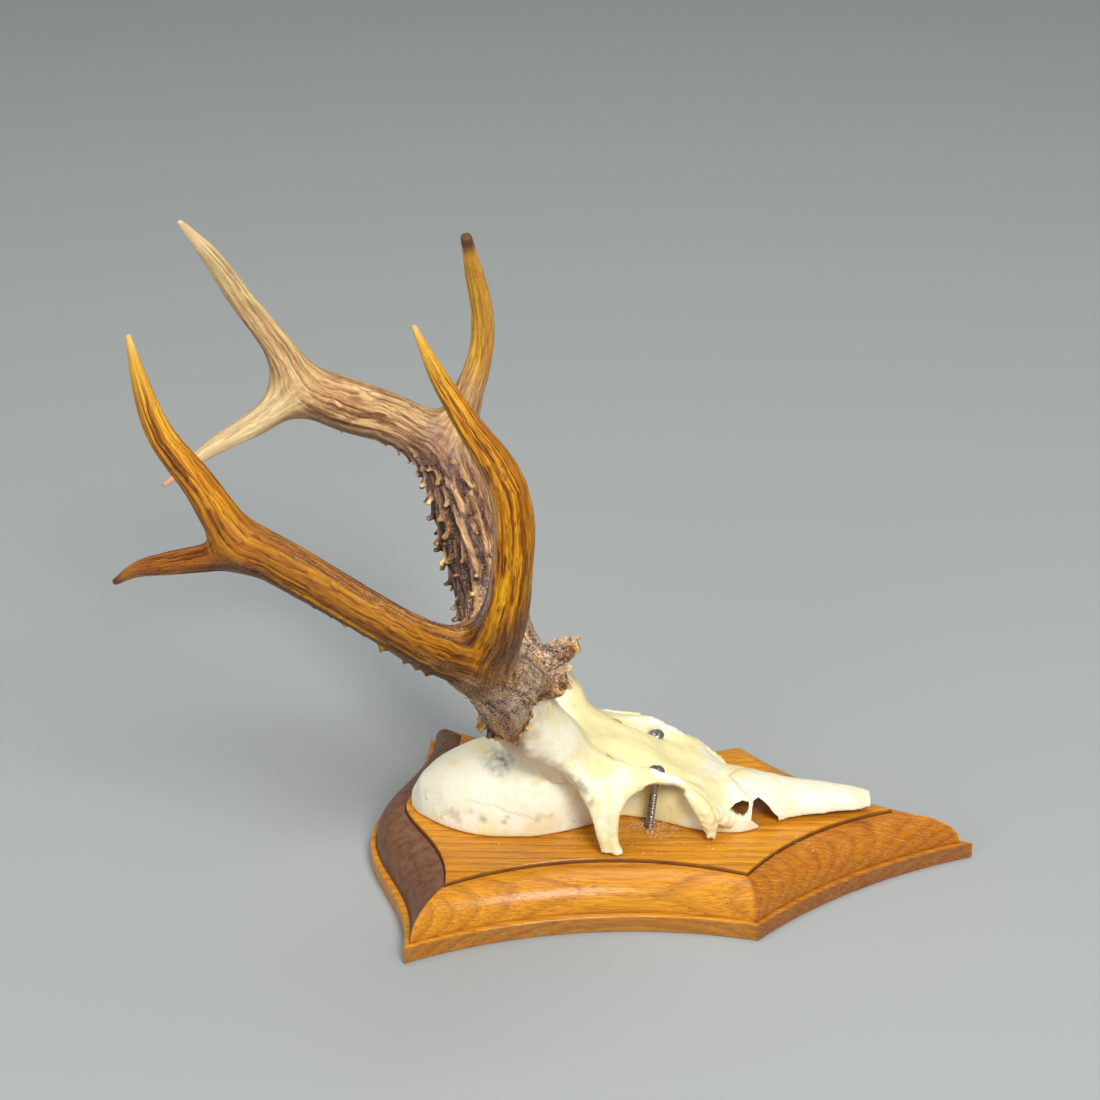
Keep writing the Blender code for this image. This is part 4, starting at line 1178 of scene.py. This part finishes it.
def pearl_meshes(side, limb):
    """Rows of pearls, and ridges between them, on the inner and rear faces of the lower beam."""
    rng = np.random.RandomState(SEEDS[side][1])
    inward = np.array((0.0, -float(SIDES[side]), 0.0))
    rear = np.array((-1.0, 0.0, -0.25))
    made = []

    def out_at(angle):
        turn = math.radians(angle)
        return math.cos(turn) * inward + math.sin(turn) * rear

    for angle, start, end, gap, size in PEARL_ROWS[side]:
        s = start + rng.uniform(0, 3)
        while s < end:
            fade = 1.0 - 0.45 * float(step(75, 135, s))
            made += thorn(limb, s, out_at(angle + 8 * rng.randn()), size * fade * rng.uniform(0.7, 1.2))
            s += gap * rng.uniform(0.75, 1.35) * (0.65 + 0.35 * fade)
    for place, way, size in SPURS if side == "right" else ():
        place, way = np.array(place), np.array(way)
        made.append(tube(np.array([(*(place - 2.0 * way), 2.2 * size), (*(place + 0.4 * way), 1.5 * size),
                                   (*(place + 1.5 * way), 0.9 * size)]), 12))
        made.append(blob(place + 1.5 * way, np.eye(3), (0.9 * size,) * 3))
    for i in range(RIDGES):
        angle, s = -35 + 9 * i + 4 * rng.randn(), rng.uniform(16, 95)
        run, size = rng.uniform(18, 42), rng.uniform(0.8, 1.3)
        line = []
        for t in np.linspace(0, 1, 7):
            swell = math.sin(math.pi * t)
            place = limb.surface(s + run * t, out_at(angle + 7 * math.sin(3 * t + i)), -0.9 + 1.2 * swell)
            line.append((*place, size * (0.5 + 0.6 * swell)))
        made.append(tube(even_line(line, 1.2), 10))
    return made


def antler_mesh(side, limbs):
    """The limbs under one skin, webbed at the forks, cut to the pedicle's edge, with pearls and coronet."""
    bare = grown_together("limbs", [tube(limb.line, 36) for limb in limbs.values()], VOXEL * 1.15, 4)
    spot = points_of(bare) / MM
    spots = {name: limb.nearest(spot) for name, limb in limbs.items()}
    for _ in range(4):
        gap, way = joined_gap(spot, limbs, spots, WEB[side])
        spot = spot - np.clip(gap, -2.5, 2.5)[:, None] * way
    # the neck above the coronet stays inside a cone from its rim
    centre, axis, _, _ = coronet_frame(side)
    height, flat, rim_r, rim_h = round_coronet(side, spot)
    widest = rim_r - 1.2 + 1.15 * np.clip(height - rim_h, 0, None)
    squeeze = np.minimum(1, widest / np.maximum(lengths(flat), 1e-6))
    squeezed = centre + height[:, None] * axis + flat * squeeze[:, None]
    move_points(bare, np.where((height < rim_h + 16)[:, None], squeezed, spot) * MM)
    bare = cut(loose_object("bare", bare), rim_solid(side, 0.0, -60))
    grown = coronet_meshes(side) + pearl_meshes(side, limbs["beam"])
    return grown_together(side + "_antler", [bare] + grown, VOXEL, 1)


def make_antler(side):
    """One whole antler, coronet to tips."""
    sign = SIDES[side]
    limbs = {name: Limb(mirrored(route, sign), LIMB_STARTS[name]) for name, route in ROUTES[side].items()}
    mesh = antler_mesh(side, limbs)
    points = points_of(mesh)
    normals = normals_of(mesh)
    spot = points / MM
    spots = {name: limb.nearest(spot) for name, limb in limbs.items()}
    proud, _ = joined_gap(spot, limbs, spots, WEB[side])
    gaps = np.array([limb.gap(spot, spots[name])[0] for name, limb in limbs.items()])
    shares = np.exp(-(gaps - gaps.min(axis=0)) / 2.0)
    shares /= shares.sum(axis=0)
    on_beam, on_front, on_rear = shares
    wander = np.column_stack([1.2 * noise(spot * 0.06, 61 + k) + 0.45 * noise(spot * 0.21, 64 + k)
                              for k in (0, 1)] + [np.zeros(len(spot))])
    places = [limb.place(spot, spots[name]) + wander for name, limb in limbs.items()]
    to_tip = sum(share * (limb.reach[-1] - limb.reach[spots[name]])
                 for share, (name, limb) in zip(shares, limbs.items()))
    beam_s = places[0][:, 2]

    def fibre(across, along, seed):
        """Stringy noise that follows each limb and crosses over softly at the forks."""
        stretch = np.array((across, across, along))
        return sum(share * noise(place * stretch, seed) for share, place in zip(shares, places))

    centre, _, front, _ = coronet_frame(side)
    away = spot - centre
    look = LOOKS[side]
    foot_near = step(*look["foot"], lengths(away) + 10 * noise(spot * 0.06, 71) + 4 * noise(spot * 0.25, 72))
    lower = step(150, 60, beam_s) * on_beam
    furrows = fibre(0.75, 0.045, 4)
    skin = step(1.2, 0.4, proud)
    rise = (0.25 + 0.45 * lower) * (1 - 2.2 * np.abs(fibre(0.30, 0.018, 2)))
    rise = step(4, 45, to_tip) * (rise + 0.20 * furrows + 0.35 * fibre(0.12, 0.012, 6))
    rise = rise * (1 - 0.6 * foot_near) * skin + foot_near * 0.32 * layered(spot * 0.6, 2, 9) - 0.35
    rise += 0.55 * fibre(0.22, 0.014, 8) * lower * (1 - foot_near) * skin
    rise *= step(0, 14, to_tip) * 0.9 + 0.1
    low, high = np.array(CAD_BOX) + np.array([[0.2 * MM], [-0.2 * MM]])
    move_points(mesh, np.clip(points + normals * rise[:, None] * MM, low, high))
    normals = normals_of(mesh)
    convex = bulge(mesh, 10)
    # colour: amber or tan limbs, dark furrows, painted shade in hollows, under the limbs and in the near
    # fork, pale tips, pearl tops and ridges lighter partly as a painted highlight, dusky inner side, grainy
    # foot
    streak = fibre(0.45, 0.016, 21) + 0.6 * fibre(1.0, 0.035, 22)
    patches = fibre(0.10, 0.016, 23)
    lit = 0.7 * step(0.0, 0.8, patches + 0.35 * streak)
    # painted shade where the surface is concave; in the noise patches the same dark is a darker tone
    hollow_shade_and_patches = 0.6 * step(-0.02, -0.20, convex) + 0.55 * step(-0.1, -0.9, patches + 0.25 * streak)
    near_tip = step(look["reach"], 8, to_tip + 10 * patches)
    near_tip = near_tip * step(0.1, 0.6, on_beam + (side == "right") * on_front)
    very_tip = step(11, 2, to_tip + 2 * patches)
    tint = laid_over(
        look["base"], (look["front"], on_front * step(20, 45, limbs["front_tine"].reach[-1] - to_tip)),
        (look["rear"], on_rear), (look["top"], on_beam * step(165, 215, beam_s)),
        (look["light"], lit * on_beam), (look["front_light"], lit * on_front), (look["dark"], hollow_shade_and_patches),
        (look["dark"], 0.65 * step(0.35, 0.9, streak)), (look["upper"], 0.85 * near_tip),
        *((look[tip], very_tip * step(0.3, 0.7, share))
          for tip, share in zip(("tip", "tine_tip", "rear_tip"), shares)))
    inward = normals @ np.array((-0.62, -0.78 * sign, 0.0))
    dark_side = step(0.0, 0.55, inward + 0.3 * fibre(0.15, 0.02, 15))
    dark_side = dark_side * step(140, 104, beam_s) * step(0.15, 0.6, on_beam)
    # on the inner face: ridges lighter, partly a painted highlight, and furrows near-black, a painted shade
    rib = convex + 0.22 * fibre(0.35, 0.03, 16) + 0.12 * fibre(0.9, 0.06, 17)
    dusk = laid_over(DUSK, ((0.44, 0.25, 0.13), step(0.0, 0.22, rib)),
                     ((0.76, 0.54, 0.27), step(0.22, 0.50, rib)),
                     ((0.036, 0.018, 0.017), step(-0.02, -0.22, rib)))
    dusk *= (0.66 + 0.34 * step(25, 80, beam_s))[:, None]
    golden = step(0.35, 0.75, normals[:, 0] + 0.2 * patches) * step(0.1, 0.4, streak + 0.3)
    dusk = mix(dusk, (0.60, 0.34, 0.03), 0.9 * golden)
    # painted shade on the undersides, with some dark deposit
    below = step(-0.05, -0.55, normals[:, 2] + 0.25 * fibre(0.2, 0.02, 18)) * step(25, 70, to_tip)
    dusty_top = step(0.6, 0.98, normals[:, 2] + 0.2 * furrows) * step(30, 75, to_tip)
    dusty_top = dusty_top * step(230, 60, beam_s) * on_beam
    tint = laid_over(tint, (dusk, 0.95 * dark_side), (look["under"], 0.75 * below * (1 - 0.5 * dark_side)),
                     ((0.31, 0.165, 0.045), 0.5 * dusty_top))
    grey_rear_side = np.zeros(len(spot))
    if side == "right":
        # greyer along the rear-facing side of the front tine
        grey_rear_side = step(0.68, 0.96, -normals[:, 0]) * on_front * step(40, 70, to_tip)
        # painted shade in the fork of the rear tine, on its lower faces
        fork = np.exp(-(((spot - (-151, -72, 165)) * (0.8, 1, 1.3)) ** 2).sum(axis=1) / 12 ** 2)
        fork = np.clip(1.5 * fork * step(0.3, -0.3, normals[:, 2]), 0, 1)
        tint = laid_over(tint, ((0.36, 0.27, 0.24), 0.85 * grey_rear_side), ((0.15, 0.062, 0.018), 0.7 * fork))
    warm = step(1, -9, away @ front + 5 * layered(spot * 0.10, 2, 88)) * step(-0.6, 0.3, streak)
    grainy = laid_over((0.50, 0.37, 0.27),
                       ((0.17, 0.095, 0.085), step(-0.15, 0.5, layered(spot * 0.12, 2, 81))),
                       ((0.54, 0.27, 0.04), 0.9 * step(-0.05, 0.5, layered(spot * 0.08, 2, 82))),
                       ((0.55, 0.27, 0.03), 0.7 * warm))
    height, flat, _, rim_h = round_coronet(side, spot)
    radial = lengths(flat)
    ring = step(9, 3, height - rim_h + 2 * noise(spot * 0.15, 86)) * step(10.5, 12.5, radial) * (radial < 30)
    lip = 0.8 * step(2.6, 0.9, height - rim_h + 0.5 * noise(spot * 0.5, 87)) * step(-0.2, 0.05, convex)
    golden = ring * np.maximum(step(-0.05, 0.3, convex + 0.15 * noise(spot * 0.3, 84)), lip)
    crest = mix((0.64, 0.47, 0.20), (0.58, 0.30, 0.06), step(-0.2, 0.5, layered(spot * 0.09, 2, 83)))
    knob = step(1.5, 2.9, proud) * (1 - ring) * step(-0.6, 0.2, noise(spot * 0.13, 85))
    # painted shade: the coronet's hollows go near-black; bulging knob and pearl tops are lighter, partly
    # worn pale and partly a painted highlight
    tint = laid_over(tint, (grainy, 0.88 * foot_near), ((0.42, 0.21, 0.075), 0.85 * ring),
                     (crest, 0.9 * golden), ((0.05, 0.022, 0.012), 0.9 * ring * step(-0.02, -0.25, convex)),
                     ((0.72, 0.50, 0.22), 0.9 * knob * step(0.05, 0.4, convex)))
    plain = step(30, 8, to_tip)
    if side == "left":
        plain = np.maximum(plain, 0.75 * on_rear + 0.5 * on_beam * step(150, 195, beam_s) + 0.6 * on_front)
    grain = foot_near + 0.16 * dark_side + 0.4 * dusty_top + 0.4 * grey_rear_side + 0.15 * below - 0.8 * ring
    paint(mesh, "tint", tint)
    paint(mesh, "beam_place", places[0])
    paint(mesh, "tine_place", np.where((on_front > on_rear)[:, None], places[1], places[2]))
    paint(mesh, "tine_share", 1 - on_beam)
    paint(mesh, "grain", np.clip(grain, 0, 1))
    paint(mesh, "smooth_tip", np.clip(plain, 0, 1))
    show(side + "_antler", mesh, ANTLER, [side + "_" + name for name in limbs])


# ================================================================ screws and crumbs
def make_screw(side):
    """A pan head screw with a slot and a thread on its lower half, leaning a little."""
    x, y, z = SCREW_PLACES[side]
    rings = [[(a * r * HEAD_RADIUS, b * r * HEAD_RADIUS, h * HEAD_HEIGHT) for a, b in circle(HEAD_SIDES)]
             for r, h in HEAD_PROFILE]
    slot = box((0, 0, HEAD_HEIGHT + 0.15), (12, 1.05, 2.1))
    slot.transform(Matrix.Rotation(math.radians(SLOT_TURNS[side]), 4, "Z"))
    cap = outward(ringed("cap", rings, (0, 0, 1.02 * HEAD_HEIGHT)))
    length = z - SCREW_TIP_Z
    rings = []
    for down in np.linspace(0, length, SHAFT_RINGS):
        grown = float(step(THREAD_START, THREAD_START + 1.5, down))
        point = min(1.0, 0.12 + (length - down) / 5.0)
        phase = (-down / THREAD_PITCH - np.arange(SHAFT_SIDES) / SHAFT_SIDES) % 1.0
        tooth = np.maximum(0.0, 1 - np.abs(phase - 0.5) / 0.3)
        r = (SHAFT_RADIUS - 0.35 * grown + 0.5 * grown * tooth) * point
        a, b = circle(SHAFT_SIDES).T
        rings.append(np.column_stack([r * a - SCREW_LEANS[side] * down, r * b, 0 * r + 0.01 - down]))
    shape = bmesh.new()
    shape.from_mesh(cut(loose_object("cap", cap), slot))
    shape.from_mesh(outward(ringed("shaft", rings)))
    bmesh.ops.translate(shape, verts=shape.verts, vec=Vector((x, y, z)) * MM)
    name = side + "_slotted_screw"
    show(name, made_mesh(shape, name), STEEL, (side + "_screw",), 38)


def make_crumbs():
    """Sawdust round the near screw's hole and a few specks on the shield."""
    rng = np.random.RandomState(21)
    shape = bmesh.new()
    x0, y0, _ = SCREW_PLACES["right"]
    x0 -= 2.3
    for i in range(CRUMBS):
        if i < SCREW_CRUMBS:
            turn = rng.uniform(0, math.tau)
            far = 2.2 + abs(rng.normal(0, 3.6))
            x, y = x0 + far * math.cos(turn) * 1.3, y0 + far * math.sin(turn)
        else:
            x, y = rng.uniform(-70, 60), rng.uniform(-36, -20)
        size = rng.uniform(0.10, 0.30) * (1.5 if i < COARSE_CRUMBS else 1.0)
        place = Matrix.Translation(Vector((x, y, SHIELD_THICKNESS + size * 0.5)) * MM)
        place = place @ Matrix.Rotation(rng.uniform(0, 6), 4, Vector(rng.normal(size=3)))
        stretch = Matrix.Diagonal((size * rng.uniform(0.7, 2.0) * MM, size * MM, size * 0.7 * MM, 1))
        bmesh.ops.create_icosphere(shape, subdivisions=1, radius=1.0, matrix=place @ stretch)
    show("sawdust", made_mesh(shape, "sawdust"), crumb_finish())


# ================================================================ stage
def make_stage():
    """The table, three lamps, the light of the room and the camera."""
    floor_mesh = mesh_of("floor", [(-4, -3, 0), (4, -3, 0), (4, 6, 0), (-4, 6, 0)], [(0, 1, 2, 3)])
    floor = loose_object("floor", floor_mesh)
    floor_mesh.materials.append(Nodes("floor").finish(base_color=TABLE, roughness=0.8))

    for name, (place, aim, size, power, colour) in LAMPS.items():
        lamp = bpy.data.lights.new(name, "AREA")
        lamp.shape = "RECTANGLE"
        lamp.size, lamp.size_y = size
        lamp.energy = power
        lamp.color = colour
        holder = loose_object(name, lamp)
        holder.location = place
        holder.rotation_euler = (Vector(aim) - Vector(place)).to_track_quat("-Z", "Y").to_euler()
    world = bpy.data.worlds.new("studio")
    bpy.context.scene.world = world
    world.use_nodes = True
    sky = world.node_tree.nodes["Background"].inputs
    sky["Color"].default_value = ROOM_LIGHT
    sky["Strength"].default_value = ROOM_STRENGTH

    camera = bpy.data.cameras.new("camera")
    camera.sensor_width = CAMERA_SENSOR
    camera.lens = CAMERA_LENS
    camera.clip_start = 0.02
    holder = loose_object("camera", camera)
    turn = (Matrix.Rotation(CAMERA_YAW, 4, "Z") @ Matrix.Rotation(math.pi / 2 - CAMERA_PITCH, 4, "X")
            @ Matrix.Rotation(CAMERA_ROLL, 4, "Z"))
    holder.matrix_world = Matrix.Translation(CAMERA_PLACE) @ turn
    bpy.context.scene.camera = holder
    bpy.context.scene.view_settings.view_transform = "Standard"


make_stage()
ANTLER = antler_finish()
STEEL = steel_finish()
make_shield()
make_skull()
for antler_side in SIDES:
    make_antler(antler_side)
    make_screw(antler_side)
make_crumbs()
